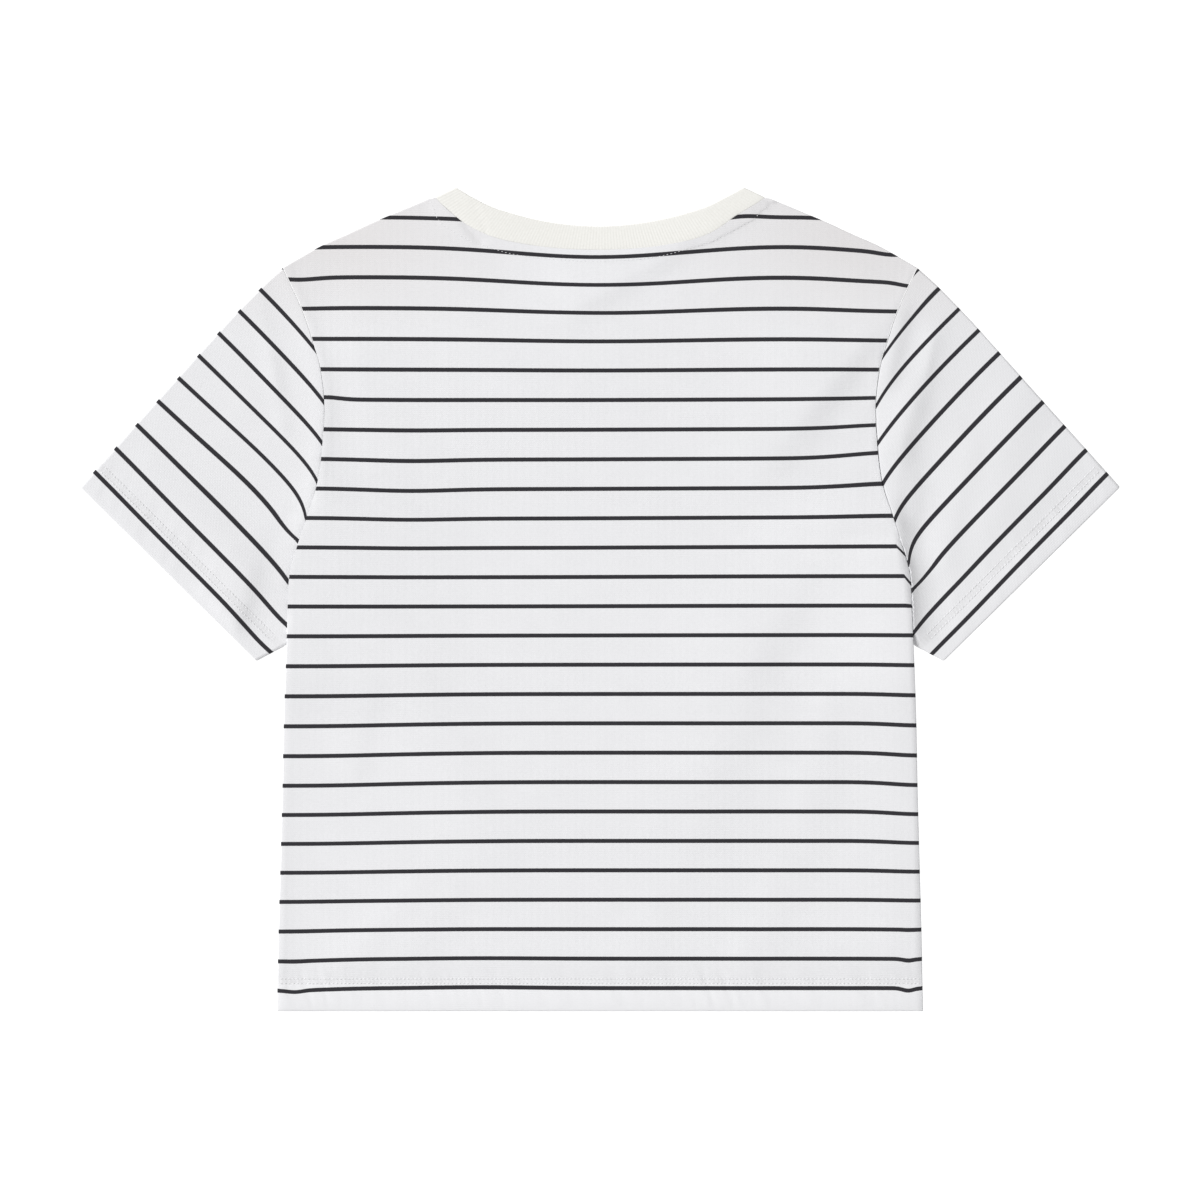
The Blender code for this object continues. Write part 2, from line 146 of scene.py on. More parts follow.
# %% Outline of the body, the neckline and the sleeves
HEM_Y = -267.2
SHOULDER_TIP = (205.7, 215.8)
NECK_POINT = Vector((106.9, 261.3))
NECK_PEAK = Vector((93.0, 267.8))
BODY_EDGE = [
    (209.9, HEM_Y), (208.9, -215.0), (207.6, -168.0), (206.4, -122.0), (205.6, -82.0),
    (204.0, -43.0), (202.8, -12.0), (201.5, 15.0), (196.7, 33.6), (190.6, 52.0),
    (182.9, 77.0), (179.7, 104.0), (178.8, 128.0), (181.4, 150.5), (186.0, 167.0),
    (193.0, 188.0), SHOULDER_TIP,
]
SHOULDER = [
    (109.4, 261.0), (128.7, 253.0), (147.6, 245.0), (163.8, 237.5), (182.7, 229.0),
    SHOULDER_TIP,
]
BACK_SEAM = [
    (0.0, 226.9), (30.0, 228.4), (54.6, 232.3), (68.3, 236.4), (78.0, 241.6), (86.8, 248.0),
    (91.4, 250.9), (101.0, 256.6),
]
LEFT_SEAM = [
    (-101.4, 255.2), (-89.7, 245.4), (-78.0, 238.9), (-68.3, 235.0), (-54.6, 231.7),
    (-30.0, 228.2),
]
BACK_FREE = [(0.0, 242.4), (33.8, 245.7), (65.0, 253.6), (81.9, 261.4)]
LEFT_FREE = [(-81.9, 260.6), (-65.0, 253.0), (-33.8, 245.2)]
FRONT_SEAM = [(0.0, 173.0), (35.0, 176.8), (66.0, 190.5), (88.0, 213.0), (100.0, 238.0)]
FRONT_FREE = [(0.0, 188.2), (32.0, 191.6), (58.5, 204.0), (76.5, 222.5), (87.0, 245.0)]
CUFF_TOP = (337.7, 73.1)
CUFF_LOW = (223.0, -40.0)
SLEEVE_TOP = [
    CUFF_TOP, (292.0, 124.2), (246.4, 175.2), (239.2, 183.0), (231.4, 191.2), (223.6, 199.2),
    (215.4, 207.2), (206.2, 215.4),
]
SLEEVE_UNDER = [CUFF_LOW, (213.0, -34.6), (203.6, -29.4), (197.4, -22.6), (194.8, -13.6)]


def lengths_along(line):
    """How far along a line each of its points is."""
    return np.append(0, np.cumsum(np.hypot(*np.diff(line, axis=0).T)))


def curve_through(points, count):
    """count + 1 points, evenly spaced along a smooth curve through the given ones."""
    given = [Vector(point) for point in points]
    padded = [2 * given[0] - given[1], *given, 2 * given[-1] - given[-2]]
    fine = []
    for before, start, end, after in zip(padded, padded[1:], padded[2:], padded[3:]):
        handles = start + (end - before) / 6, end - (after - start) / 6
        fine += interpolate_bezier(start, *handles, end, 24)[:-1]
    fine = np.array([point[:2] for point in fine] + [given[-1][:2]])
    lengths = lengths_along(fine)
    wanted = np.linspace(0, lengths[-1], count + 1)
    return np.column_stack([np.interp(wanted, lengths, fine[:, k]) for k in (0, 1)])


def both_sides(half):
    """A line across the whole top from its right half, which starts at x = 0."""
    return [(-x, y) for x, y in reversed(half[1:])] + list(half)


edge_line = curve_through(BODY_EDGE, 400)


def half_width(y):
    """From the middle of the body to its edge."""
    return np.interp(y, edge_line[:, 1], edge_line[:, 0])


print(f"hem {2 * half_width(HEM_Y):.0f} mm wide, chest {2 * half_width(0):.0f} mm")

# %% [markdown]
# ## How the layers lie on each other
#
# The front lies on the table, the front half of the neckband beside it, and the back over both.
# So the height of the back at any point is the sum of what is below it. These short rules give
# that height, and the creases are added to it afterwards.

# %% Heights of the layers
WALL = 1.1  # the room that one layer of jersey takes
JERSEY = 0.8  # the jersey's own thickness
HEM_WALL = 1.9  # the room that a turned-up hem takes
RIB_WALL = 2.1  # rib folded double
LAYER_GAP = 0.3
SEAM_GAP = 0.02  # between two pieces that are sewn together
BAND_CLEARANCE = 0.1
BAND_SLOPE = (-90.0, -3.0)  # where the back comes down from the band, inside the neckline
OPENING_SLOPE = (5.0, 95.0)  # where it comes down to the table, inside the band
HEM_DEPTH = 19.5
HEM_STEP = 44.0  # how gently the layers above come down from the hem
TUCK_IN = 9.0  # of the sleeve's underarm below the body's side
TUCK_LOW_Y, TUCK_HIGH_Y = -4.0, 46.0
TUCK_RISE = 2 * WALL + LAYER_GAP + 0.4  # of the body over the tucked sleeve
LIFT_START_Y = (-88.0, -44.0)  # where that rise begins, from the hem up
LIFT_END_Y, LEFT_LIFT_END_Y = 76.0, 130.0
LIFT_REACH, LEFT_LIFT_REACH = 110.0, 130.0  # in from the body's edge


def ramp(low, high, value):
    """0 up to low, 1 from high on, and a soft rise between them."""
    share = np.clip((value - low) / (high - low), 0, 1)
    return share * share * (3 - 2 * share)


def mix(start, end, share):
    return start + (end - start) * share


def fade(distance, reach):
    """1 where the distance is 0, 0.37 at the reach, and almost 0 at twice the reach."""
    return np.exp(-((distance / reach) ** 2))


def distance_to(line, x, y):
    """Distance from each point to the nearest one of a line."""
    away = np.hypot(line[:, 0] - x[:, None], line[:, 1] - y[:, None])
    return away.min(1)


across_band = (NECK_POINT - NECK_PEAK).normalized()
TURN_PRESSED = 0.4  # the band's turn over the shoulder is pressed flat, to this share
fold_out = Vector((-across_band.y, across_band.x)) * TURN_PRESSED * (RIB_WALL + LAYER_GAP / 2)
SEAM_END = tuple(NECK_POINT - fold_out)
FREE_END = tuple(NECK_PEAK - fold_out)
RIB_WIDTH = (NECK_POINT - NECK_PEAK).length
WHOLE_BACK_SEAM = [(-SEAM_END[0], SEAM_END[1])] + LEFT_SEAM + BACK_SEAM + [SEAM_END]
WHOLE_BACK_FREE = [(-FREE_END[0], FREE_END[1])] + LEFT_FREE + BACK_FREE + [FREE_END]
back_seam_line = curve_through(WHOLE_BACK_SEAM, 240)
front_seam_line = curve_through(both_sides(FRONT_SEAM + [SEAM_END]), 240)


def neck_inset(x, y):
    """How far a point lies inside the front neckline, negative outside it."""
    away = distance_to(front_seam_line, x, y)
    line_y = np.interp(x, front_seam_line[:, 0], front_seam_line[:, 1])
    inside = (np.abs(x) < front_seam_line[-1, 0]) & (y > line_y)
    return np.where(inside, away, -away)


def tuck_lift(x, y):
    """Rise of the body over the sleeve that is tucked under it."""
    reach = np.where(x < 0, LEFT_LIFT_REACH, LIFT_REACH)
    end_y = np.where(x < 0, LEFT_LIFT_END_Y, LIFT_END_Y)
    across = 1 - ramp(0.0, reach, half_width(y) - np.abs(x))
    along = ramp(*LIFT_START_Y, y) * (1 - ramp(TUCK_HIGH_Y, end_y, y))
    return TUCK_RISE * across * along


def hem_share(from_edge):
    """1 in the doubled cloth of a hem, 0 past its stitches."""
    return 1 - ramp(HEM_DEPTH, HEM_DEPTH + HEM_STEP, from_edge)


def under_back(x, y):
    """Top of what lies under the back and under the back half of the neckband."""
    inside = neck_inset(x, y)
    front = mix(WALL, HEM_WALL, hem_share(y - HEM_Y))
    over_band = mix(front, RIB_WALL + BAND_CLEARANCE, ramp(*BAND_SLOPE, inside))
    in_opening = ramp(*OPENING_SLOPE, inside - RIB_WIDTH)
    return tuck_lift(x, y) + over_band * (1 - in_opening)


# %% [markdown]
# ## The creases
#
# Cloth that has been smoothed by hand keeps a few long, soft waves, which run from where it
# was pulled: from the armholes towards the middle, and down the sides. Each one is a ridge
# along a line, steeper on one side, that dies out at both ends. They are placed one by one,
# because evenly scattered creases look like noise and not like cloth.

# %% Creases of the body and of the sleeves
# x, y of its upper end and of its lower end, width on its left and on its right, height
BODY_CREASES = [
    (180, 180, 144, 138, 50, 14, 1.7), (144, 138, 113, 100, 50, 16, 1.3),
    (184, 140, 166, 116, 12, 8, 0.45), (42, 225, -8, 196, 36, 11, 1.5),
    (-158, 190, -146, 92, 12, 30, 0.5), (-186, 150, -180, 84, 10, 40, 1.2),
    (-181, 124, -179, 72, 10, 14, 0.8), (142, 36, 100, -28, 44, 20, 1.3),
    (98, -34, 64, -132, 40, 22, 0.9), (148, -72, 132, -154, 14, 14, 0.5),
    (204, -60, 204, -220, 34, 8, 1.5), (-118, -52, -78, -158, 26, 20, 0.7),
    (-150, -62, -160, -108, 16, 9, 0.5), (-120, -190, -172, -242, 13, 18, 0.7),
    (-213, -110, -213, -250, 8, 9, 0.8), (-98, -196, -128, -236, 10, 12, 0.35),
    (40, -200, 22, -242, 16, 12, 0.35), (112, -190, 92, -240, 12, 16, 0.45),
]
SLEEVE_CREASES = [
    (194, 182, 186, 146, 12, 8, 2.2), (217, 172, 203, 128, 14, 9, 1.3),
    (203, 128, 195, 104, 18, 10, 1.4), (194, 100, 190, 40, 20, 11, 2.0),
    (216, 169, 212, 148, 5, 3.5, 0.5), (204, 78, 203, 46, 5, 6, 0.4),
    (240, 96, 222, 26, 13, 9, 0.8), (276, 126, 256, 62, 20, 24, 1.7),
    (300, 104, 286, 70, 9, 12, 0.5), (188, 120, 240, 90, 40, 60, 1.2),
    (-222, 196, -212, 140, 12, 6, 0.6), (-212, 160, -206, 112, 6, 6, 0.5),
    (-238, 170, -228, 128, 14, 9, 0.35), (-292, 88, -240, 34, 12, 12, 0.6),
    (-232, 10, -236, -3, 24, 11, 1.6), (-240, -15, -244, -25, 24, 9, 1.4),
]


def creased(creases, x, y):
    """Height of the creases at each point."""
    total = np.zeros(len(x))
    for x0, y0, x1, y1, left, right, rise in creases:
        length = math.hypot(x1 - x0, y1 - y0)
        ux, uy = (x1 - x0) / length, (y1 - y0) / length
        along = (x - x0) * ux + (y - y0) * uy
        aside = (y - y0) * ux - (x - x0) * uy
        past = along - np.clip(along, 0, length)
        width = np.where(aside > 0, right, left)
        total += rise * np.exp(-((aside / width) ** 2) - 4 * (past / (left + right)) ** 2)
    return total


# %% [markdown]
# ## The stripes
#
# The stripes are knitted into the cloth, so they are drawn on the cloth's own coordinates, its
# UV map, and not on the table. They run level, 19 mm apart. Where the cloth was pulled, towards
# the neck, the armholes and the hem's corners, the stripes went with it. Each pull is a soft
# dome: its middle, its reach each way, and how far it moved the cloth up.

# %% Where the cloth was pulled
PITCH = 19.1
STRIPE = 2.87
LOWEST_STRIPE = -252.2  # middle of the stripe in the hem
# x, y, reach across, reach along, pull towards the neck
BODY_PULLS = [
    (0, 240, 76, 56, -8.0), (-150, 240, 260, 70, 3.5),
    (150, 240, 200, 55, 3.4), (190, 224, 46, 46, -3.4),
    (192, 94, 40, 33, 4.0), (-124, 74, 36, 36, -1.3),
    (-75, 60, 150, 95, -0.85), (-200, -120, 84, 84, -2.4),
    (207, -118, 24, 62, -1.9), (-205, -244, 34, 40, -1.4),
    (-198, -251, 7, 12, -1.2), (-78, -252, 46, 26, 0.6),
    (-196, 208, 16, 16, -1.4), (-178, 131, 12, 10, 1.5),
    (190, 225, 12, 8, -1.8), (200, -251, 5, 26, -1.6),
    (204, 205, 12, 10, -3.0), (93, 249, 16, 9, 1.5),
]
# the same for each sleeve, with x along the cuff from its top corner and y up from its edge
SLEEVE_PULLS = {
    -1: [
        (0, 90, 50, 90, 1.7), (80, 86, 58, 30, 5.6), (155, 20, 22, 40, -2.0),
        (4, 196, 12, 10, 7.0),
    ],
    1: [
        (10, 125, 100, 62, 6.0), (140, 20, 50, 50, -1.5), (0, 30, 25, 40, 0.8),
        (0, 189, 16, 10, 5.5),
    ],
}
SLEEVE_SHIFT = {-1: 0.4, 1: -1.4}
# y and pull at the armhole seam, from the underarm up, fading into the sleeve
SEAM_PULLS = {
    -1: [(-18, 0.1), (12, -1.3), (39, -0.4), (51, -8.2), (76, -4.5), (102, -2.6), (161, -2.6)],
    1: [(7, -2.3), (22, -9.7), (40, -5.5), (52, -4.1), (75, -3.2), (102, -3.2), (126, -6)],
}
SEAM_PULL_REACH = 9.0
# the right side's soft fold at the underarm, which the cloth goes down and under
UNDERARM_FOLD = [(192.2, 36.0), (193.6, 30.9), (197.6, 13.3), (200.9, -1.0), (203.6, -12.0)]
FOLD_SLANT = 0.97  # across the fold for each millimetre along x
NOT_FOLDED = -50.0
underarm_line = curve_through(UNDERARM_FOLD, 60)


def beyond_fold(x, y):
    """How far the right side's cloth lies beyond its fold at the underarm, negative before it."""
    fold_x = np.interp(y, underarm_line[::-1, 1], underarm_line[::-1, 0])
    in_fold = (y > UNDERARM_FOLD[-1][1]) & (y < UNDERARM_FOLD[0][1] + 6) & (x > 0)
    return np.where(in_fold, (x - fold_x) * FOLD_SLANT, NOT_FOLDED)


def pulled(pulls, x, y):
    """How far the cloth was pulled at each point."""
    total = np.zeros(len(x))
    for x0, y0, across, along, pull in pulls:
        total += pull * np.exp(-(((x - x0) / across) ** 2) - ((y - y0) / along) ** 2)
    return total


def body_cloth(x, y):
    """Cloth coordinates of the body: across it, and up it from the lowest stripe."""
    # the fold hides a little cloth, and beyond it the cloth is seen on a slope
    beyond = beyond_fold(x, y)
    folded = 2.6 * ramp(0, 1.6, beyond) + 0.75 * np.maximum(beyond, 0)
    return np.column_stack([x, y - LOWEST_STRIPE - pulled(BODY_PULLS, x, y) + folded])


# %% [markdown]
# ## Laying a sheet
#
# A sheet starts as a grid of small squares. Each point is then laid at its place on the table,
# and gets its place on the cloth as its UV. At a hem the last rows turn round the edge and run
# back on the inside. Solidify then gives the sheet the thickness of jersey, towards the inside,
# so the outer face stays where it was laid.

# %% Grid, wall and hem
FOLD_RADIUS = 0.9  # of the hem's fold
FOLD_ROWS = 6
TURNED_ROWS = 6
WELD = 0.005  # points closer than this become one
SMOOTH_ANGLE = 50


def run(step, **settings):
    """One edit-mode step on the whole of the active piece."""
    bpy.ops.object.mode_set(mode="EDIT")
    bpy.ops.mesh.select_all(action="SELECT")
    step(**settings)
    bpy.ops.object.mode_set(mode="OBJECT")


def lay_sheet(name, columns, rows, place, closed=False):
    """A grid whose points are laid at place(column, row), in millimetres, and welded if closed."""
    bpy.ops.object.select_all(action="DESELECT")
    bpy.ops.mesh.primitive_grid_add(x_subdivisions=columns, y_subdivisions=rows, size=2)
    piece = bpy.context.object
    piece.name = piece.data.name = name
    mesh = piece.data
    row, column = np.divmod(np.arange(len(mesh.vertices)), columns + 1)
    points, cloth, seams = place(column, row)
    mesh.vertices.foreach_set("co", (points * MM).ravel())
    corners = np.zeros(len(mesh.loops), int)
    mesh.loops.foreach_get("vertex_index", corners)
    mesh.uv_layers[0].name = "Cloth"
    mesh.uv_layers["Cloth"].data.foreach_set("uv", (cloth * MM)[corners].ravel())
    mesh.uv_layers.new(name="Seams").data.foreach_set("uv", (seams * MM)[corners].ravel())
    mesh.update()
    if closed:
        run(bpy.ops.mesh.remove_doubles, threshold=WELD * MM)
    return piece


def smooth(piece):
    """Rounded shading, but for real corners."""
    bpy.ops.object.shade_smooth_by_angle(angle=math.radians(SMOOTH_ANGLE))
    print(f"{piece.name}: {len(piece.data.vertices)} points, {len(piece.data.polygons)} faces")
    return piece


def give_wall(piece):
    """The jersey's thickness, towards the inside of the cloth."""
    bpy.ops.object.select_all(action="DESELECT")
    piece.select_set(True)
    bpy.context.view_layer.objects.active = piece
    thick = piece.modifiers.new("Wall", "SOLIDIFY")
    thick.thickness = JERSEY * MM
    thick.offset = -1
    bpy.ops.object.modifier_apply(modifier=thick.name)
    return smooth(piece)


def hem_rows(depth):
    """Rows of a turned-up hem as (from the edge, inside the outer face), from its raw edge."""
    turned = [(y, 2 * FOLD_RADIUS) for y in np.linspace(depth, FOLD_RADIUS + 1, TURNED_ROWS)]
    angles = [math.pi * (1 - k / FOLD_ROWS) for k in range(FOLD_ROWS)]
    return turned + [
        (FOLD_RADIUS * (1 - math.sin(angle)), FOLD_RADIUS * (1 - math.cos(angle)))
        for angle in angles
    ]


def toward_edge(reach, count):
    """Distances from an edge for the last rows of a rounded edge, ending on the edge."""
    return [reach * (1 - math.sin(math.pi / 2 * k / count)) for k in range(count + 1)]


def rounded(from_edge, reach):
    """Share of the way down a rounded edge, which reaches in that far."""
    inward = np.clip((reach - from_edge) / reach, 0, 1)
    return 1 - np.sqrt(1 - inward**2)


# %% [markdown]
# ## The back and the front
#
# The columns of the grid run from hem to neck and its rows from side to side, closer together
# at the edges, where the cloth rolls over. The back rolls down at the sides and shoulders,
# where it meets the front. Along the armholes and the neck it rolls into the seam. At the right
# underarm it bunches up to a thick soft fold, and goes down and under there.

# %% Rows and columns of a body panel
ROWS_BEND_Y = -60.0  # rows are level up to here, and follow the shoulders at the top
SIDE_ROLL = 0.9
SEAM_ROLL = 0.07
EDGE_ROWS = 6  # round a rolled edge
CORNER_GAP = 0.2  # between the end of the neck seam and that of the shoulder
STITCH_ROWS = (17.9, 20.9)  # of the body's hem, from its edge
HEM_TURN = STITCH_ROWS[1] + 1.0  # cloth that is turned up inside


def spaced_rows(stretches):
    """Heights of rows up a panel, closer together where there is more to show."""
    return np.concatenate([np.linspace(*stretch, endpoint=False) for stretch in stretches])


def panel_grid(seam_line, columns_across, stretches):
    """Columns of a body panel as shares and insets, its rows as heights, depths and drops."""
    reach = SHOULDER_TIP[0] - SEAM_ROLL
    half = spaced_rows(columns_across) / reach
    corners = np.array([seam_line[-1, 0], NECK_POINT.x + CORNER_GAP]) / reach
    half = np.sort(np.concatenate([half[1:], corners, [1.0]]))
    inner = np.concatenate([-half[::-1], [0.0], half])
    close = toward_edge(SIDE_ROLL, EDGE_ROWS)[1:]
    shares = np.concatenate([[-1.0] * EDGE_ROWS, inner, [1.0] * EDGE_ROWS])
    insets = np.concatenate([close[::-1], [SIDE_ROLL] * len(inner), close])
    top = SHOULDER_TIP[1] - HEM_Y
    rows = [(y, depth, SIDE_ROLL) for y, depth in hem_rows(HEM_TURN)]
    rows += [(y, 0.0, SIDE_ROLL) for y in spaced_rows(stretches)]
    rows += [(top, 0.0, drop) for drop in toward_edge(SIDE_ROLL, EDGE_ROWS)]
    heights, depths, lowered = np.array(rows).T
    shoulder = curve_through(SHOULDER, 60)
    right = np.vstack([seam_line[-1], NECK_POINT + Vector((CORNER_GAP, -0.1)), shoulder[1:]])
    left = right[::-1] * (-1, 1)
    top_line = np.vstack([left, seam_line[1:-1], right])
    return shares, insets, heights + HEM_Y, depths, lowered, top_line


def side_turn(y):
    """1 where the body's edge is its side, 0 where it is the armhole."""
    return 1 - ramp(TUCK_HIGH_Y, LIFT_END_Y, y)


def beside_sleeve(x, y):
    """1 where the body's edge is sewn to the sleeve, 0 where it is a soft fold."""
    seam_end = np.where(x < 0, -20.0, 34.0)
    return ramp(seam_end, seam_end + 12, y)


def lay_panel(grid, i, j, edge_inset):
    """Plan position of a body panel's points, and their distances from its edges."""
    shares, insets, heights, depths, lowered, top_line = grid
    rise = ramp(ROWS_BEND_Y, SHOULDER_TIP[1], heights[j])
    top_x = shares[i] * (SHOULDER_TIP[0] - insets[i] * SEAM_ROLL / SIDE_ROLL)
    top_y = np.interp(top_x, top_line[:, 0], top_line[:, 1])
    y = heights[j] + rise * (top_y - SHOULDER_TIP[1] - lowered[j] - edge_inset)
    side = side_turn(y)
    inset = mix(insets[i], insets[i] * SEAM_ROLL / SIDE_ROLL, beside_sleeve(shares[i], y))
    edge = half_width(y) - inset - edge_inset * side - depths[j] * 0.5
    x = shares[i] * edge
    from_top = np.interp(x, top_line[:, 0], top_line[:, 1]) - y
    return x, y, half_width(y) - np.abs(x), from_top


# %% What stands up from a body panel
CREST, CREST_REACH = 2.8, 36.0  # of the fold at the right underarm
NECK_PINCH = (-86.5, 243, -78.0, 232.5, 3.2, 5.0, -0.7)  # a trough near the tape's left end
NECK_REACH = (114, 205)  # x and y of the part round the neck that the tape makes thicker
# the row that sews a tape over the neck seam inside, from shoulder to shoulder
TAPE_STITCHES = [
    (-109.9, 259.0), (-107.9, 253.2), (-105.6, 247.3), (-101.4, 242.8), (-94.3, 238.2),
    (-83.2, 232.4), (-65.7, 226.5), (-52.0, 223.3), (-26.0, 220.3), (0.0, 219.4),
    (26.0, 220.7), (44.0, 223.8), (58.5, 228.0), (68.3, 230.8), (73.8, 232.7),
    (78.4, 235.4), (83.7, 238.1), (89.0, 240.8), (94.1, 243.8), (100.1, 246.9),
    (104.4, 252.2), (107.4, 253.8), (109.4, 257.6),
]
tape_line = curve_through(TAPE_STITCHES, 400)


def gathered(along, strength=1.0):
    """Small uneven puckers along a seam or a row of stitches."""
    slow = np.sin(along / 37.0) + 0.6 * np.sin(along / 13.3 + 1.0)
    waves = np.sin(along / 1.9 + 2.1 * slow) + 0.7 * np.sin(along / 1.07 + 3.0 * slow)
    return 0.06 * strength * waves * (1 + 0.5 * slow)


def hem_relief(along, from_edge, rows, tension):
    """A turned-up hem: puffed between its edge and its stitches, and pulled down along them."""
    low, high = rows
    puff = 0.45 * tension * np.sin(math.pi * np.clip(from_edge / low, 0, 1)) ** 0.7
    pulled_in = 0.15 * tension * fade(from_edge - low, 1.0)
    pulled_in += 0.2 * tension * fade(from_edge - high, 1.2)
    above = 0.6 * fade(from_edge - high, 6.0) + 0.9 * fade(from_edge - high, 16.0)
    pulled_in += tension * np.where(from_edge > high, above, 1.5 * ramp(2, high, from_edge))
    near = ramp(0.5, 5.0, from_edge) * (1 - ramp(high + 1, high + 14, from_edge))
    slant = along + 0.35 * from_edge
    return puff - pulled_in + near * (gathered(slant) + 0.9 * gathered(slant / 2.7 + 9.0))


def neck_relief(x, y):
    """The strip round the neck that the tape inside makes thicker, up to its stitches.

    Its edge is sharper towards the right, and it stands up most at its ends.
    """
    away = distance_to(tape_line, x, y)
    inside = y > np.interp(x, tape_line[:, 0], tape_line[:, 1])
    inward = np.where(inside, away, -away)
    step = mix(0.06, 0.32, ramp(-20, 40, x))
    rise = mix(0.35, 0.85, ramp(40, 90, x)) + 0.8 * ramp(70, 92, -x)
    return step * ramp(-1.2, 1.0, inward) + rise * ramp(-6, 9, inward)


def underarm_relief(x, y, from_side):
    """The soft fold at the right underarm: a crest, and beyond it cloth that goes under."""
    beyond = beyond_fold(x, y)
    before = np.where(beyond <= NOT_FOLDED, from_side, np.maximum(-beyond, 0))
    sliver = 1.2 + 0.7 * fade(from_side - 1.2, 1.0)
    under = mix(2.4, sliver, ramp(0, 1.2, beyond))
    ends = ramp(-120, -16, y) * (1 - ramp(28, 46, y)) * (x > 0)
    return np.where(beyond > 0, under, CREST * fade(before, CREST_REACH)) * ends


def back_relief(x, y, from_side):
    """Seams, creases and edges of the back, over the layers below it."""
    hem = hem_relief(x, y - HEM_Y, STITCH_ROWS, 1.0)
    near_neck = (np.abs(x) < NECK_REACH[0]) & (y > NECK_REACH[1])
    neck = np.zeros(len(x))
    neck[near_neck] = neck_relief(x[near_neck], y[near_neck])
    pinch = creased([NECK_PINCH], x, y)
    puckers = gathered(y, 1.2) * np.exp(-from_side / 3.0) * ramp(40, 60, y)
    waves = creased(BODY_CREASES, x, y) * ramp(-2, 14, y - HEM_Y)
    at_armhole = np.where(x < 0, 0.6, 0.2) * fade(from_side, 5.5) * ramp(60, 90, y)
    underarm = underarm_relief(x, y, from_side)
    return waves + neck + pinch + hem + underarm + puckers + at_armhole


# %% Laying a body panel
RIM = 0.2  # from the front to the turned edge of the back


def back_outside(x, y, from_side, from_top):
    """Height of the back's outside: what lies below it, its relief, and its rolled edges."""
    lying = under_back(x, y) + LAYER_GAP + mix(WALL, HEM_WALL, hem_share(y - HEM_Y))
    lying = lying + back_relief(x, y, from_side)
    side = side_turn(y) * (1 - beside_sleeve(x, y))
    on_shoulder = (np.abs(x) > back_seam_line[-1, 0]).astype(float)
    side_drop = rounded(from_side, SIDE_ROLL) * side
    top_drop = rounded(from_top, SIDE_ROLL) * on_shoulder
    dropped = 1 - (1 - side_drop) * (1 - top_drop)
    seam_drop = SEAM_ROLL * np.maximum(
        rounded(from_side, SEAM_ROLL) * (1 - side),
        rounded(from_top, SEAM_ROLL) * (1 - on_shoulder),
    )
    return mix(lying, tuck_lift(x, y) + RIM, dropped) - seam_drop * (1 - dropped)


def make_panel(name, seam_line, columns, rows, facing, edge_inset, outside):
    """A body panel whose outside looks up, facing 1, or down, facing -1, at that height."""
    shares, *rest = panel_grid(seam_line, columns, rows)
    grid = (facing * shares, *rest)

    def place(i, j):
        x, y, from_side, from_top = lay_panel(grid, i, j, edge_inset)
        z = outside(x, y, from_side, from_top) - facing * grid[3][j]
        return np.column_stack([x, y, z]), body_cloth(x, y), np.column_stack([x, y - HEM_Y])

    return give_wall(lay_sheet(name, len(shares) - 1, len(grid[2]) - 1, place))


# %% Back
# from, to and number of columns, from the middle out, and of rows, from the hem up
BACK_COLUMNS = [(0, 58, 20), (58, 116, 38), (116, 172, 19), (172, 203.5, 22)]
BACK_ROWS = [(0.9, 24, 24), (24, 440, 128), (440, 472, 16), (472, 480, 12), (480, 483, 4)]
back = make_panel("back", back_seam_line, BACK_COLUMNS, BACK_ROWS, 1, 0.0, back_outside)

# %% Front
FRONT_INSET = 1.1  # of its edge inside the back's
FRONT_COLUMNS = [(0, 90, 24), (90, 116, 10), (116, 203.5, 26)]
FRONT_ROWS = [(0.9, 24, 12), (24, 440, 96), (440, 483, 20)]
FRONT_CREASES = [
    (150, 150, 104, 70, 18, 14, 0.45), (-158, 120, -120, 40, 16, 20, 0.4),
    (96, -30, 50, -150, 22, 16, 0.45), (-110, -60, -66, -190, 18, 26, 0.4),
    (10, 90, -24, -20, 26, 20, 0.35), (168, -80, 140, -200, 18, 20, 0.35),
]


def front_outside(x, y, from_side, from_top):
    """Height of the front's outside, which looks down: its creases, and its raised edges."""
    waves = creased(FRONT_CREASES, x, y)
    waves = waves * ramp(0, 16, from_side) * ramp(24, 40, y - HEM_Y)
    rim = 0.35 * rounded(np.minimum(from_side, from_top) - FRONT_INSET, 0.8)
    to_back = (LAYER_GAP + 0.6) * beside_sleeve(x, y) * side_turn(y)
    rim += to_back * fade(from_side - FRONT_INSET, 2.5)
    return tuck_lift(x, y) + waves + rim


front = make_panel(
    "front", front_seam_line, FRONT_COLUMNS, FRONT_ROWS, -1, FRONT_INSET, front_outside
)

# %% [markdown]
# ## The sleeves
#
# A sleeve is a tube, pressed flat: an upper layer, a lower one, and a fold along each side. The
# grid goes once round the tube, ring by ring from the turned-up cuff to the armhole. The seam
# allowance of the armhole is pressed towards the sleeve, so the sleeve stands a little higher
# along the seam than the body does. The right sleeve bulges at the underarm, where the body's
# fold lies on it, and its cuff is lifted a little.

# %% Armhole edge and cloth of a sleeve
SLEEVE_AXIS = np.array((-0.709, -0.705))  # down the cuff from its top corner, right sleeve
SLEEVE_ALONG = np.array((-0.705, 0.709))  # from the cuff towards the shoulder
SLEEVE_PITCH = 20.0
FIRST_SLEEVE_STRIPE = 12.6


def sleeve_edge(y):
    """The sleeve's armhole edge, tucked below the body at the underarm."""
    return half_width(y) + SEAM_GAP - TUCK_IN * (1 - ramp(TUCK_LOW_Y, TUCK_HIGH_Y, y))


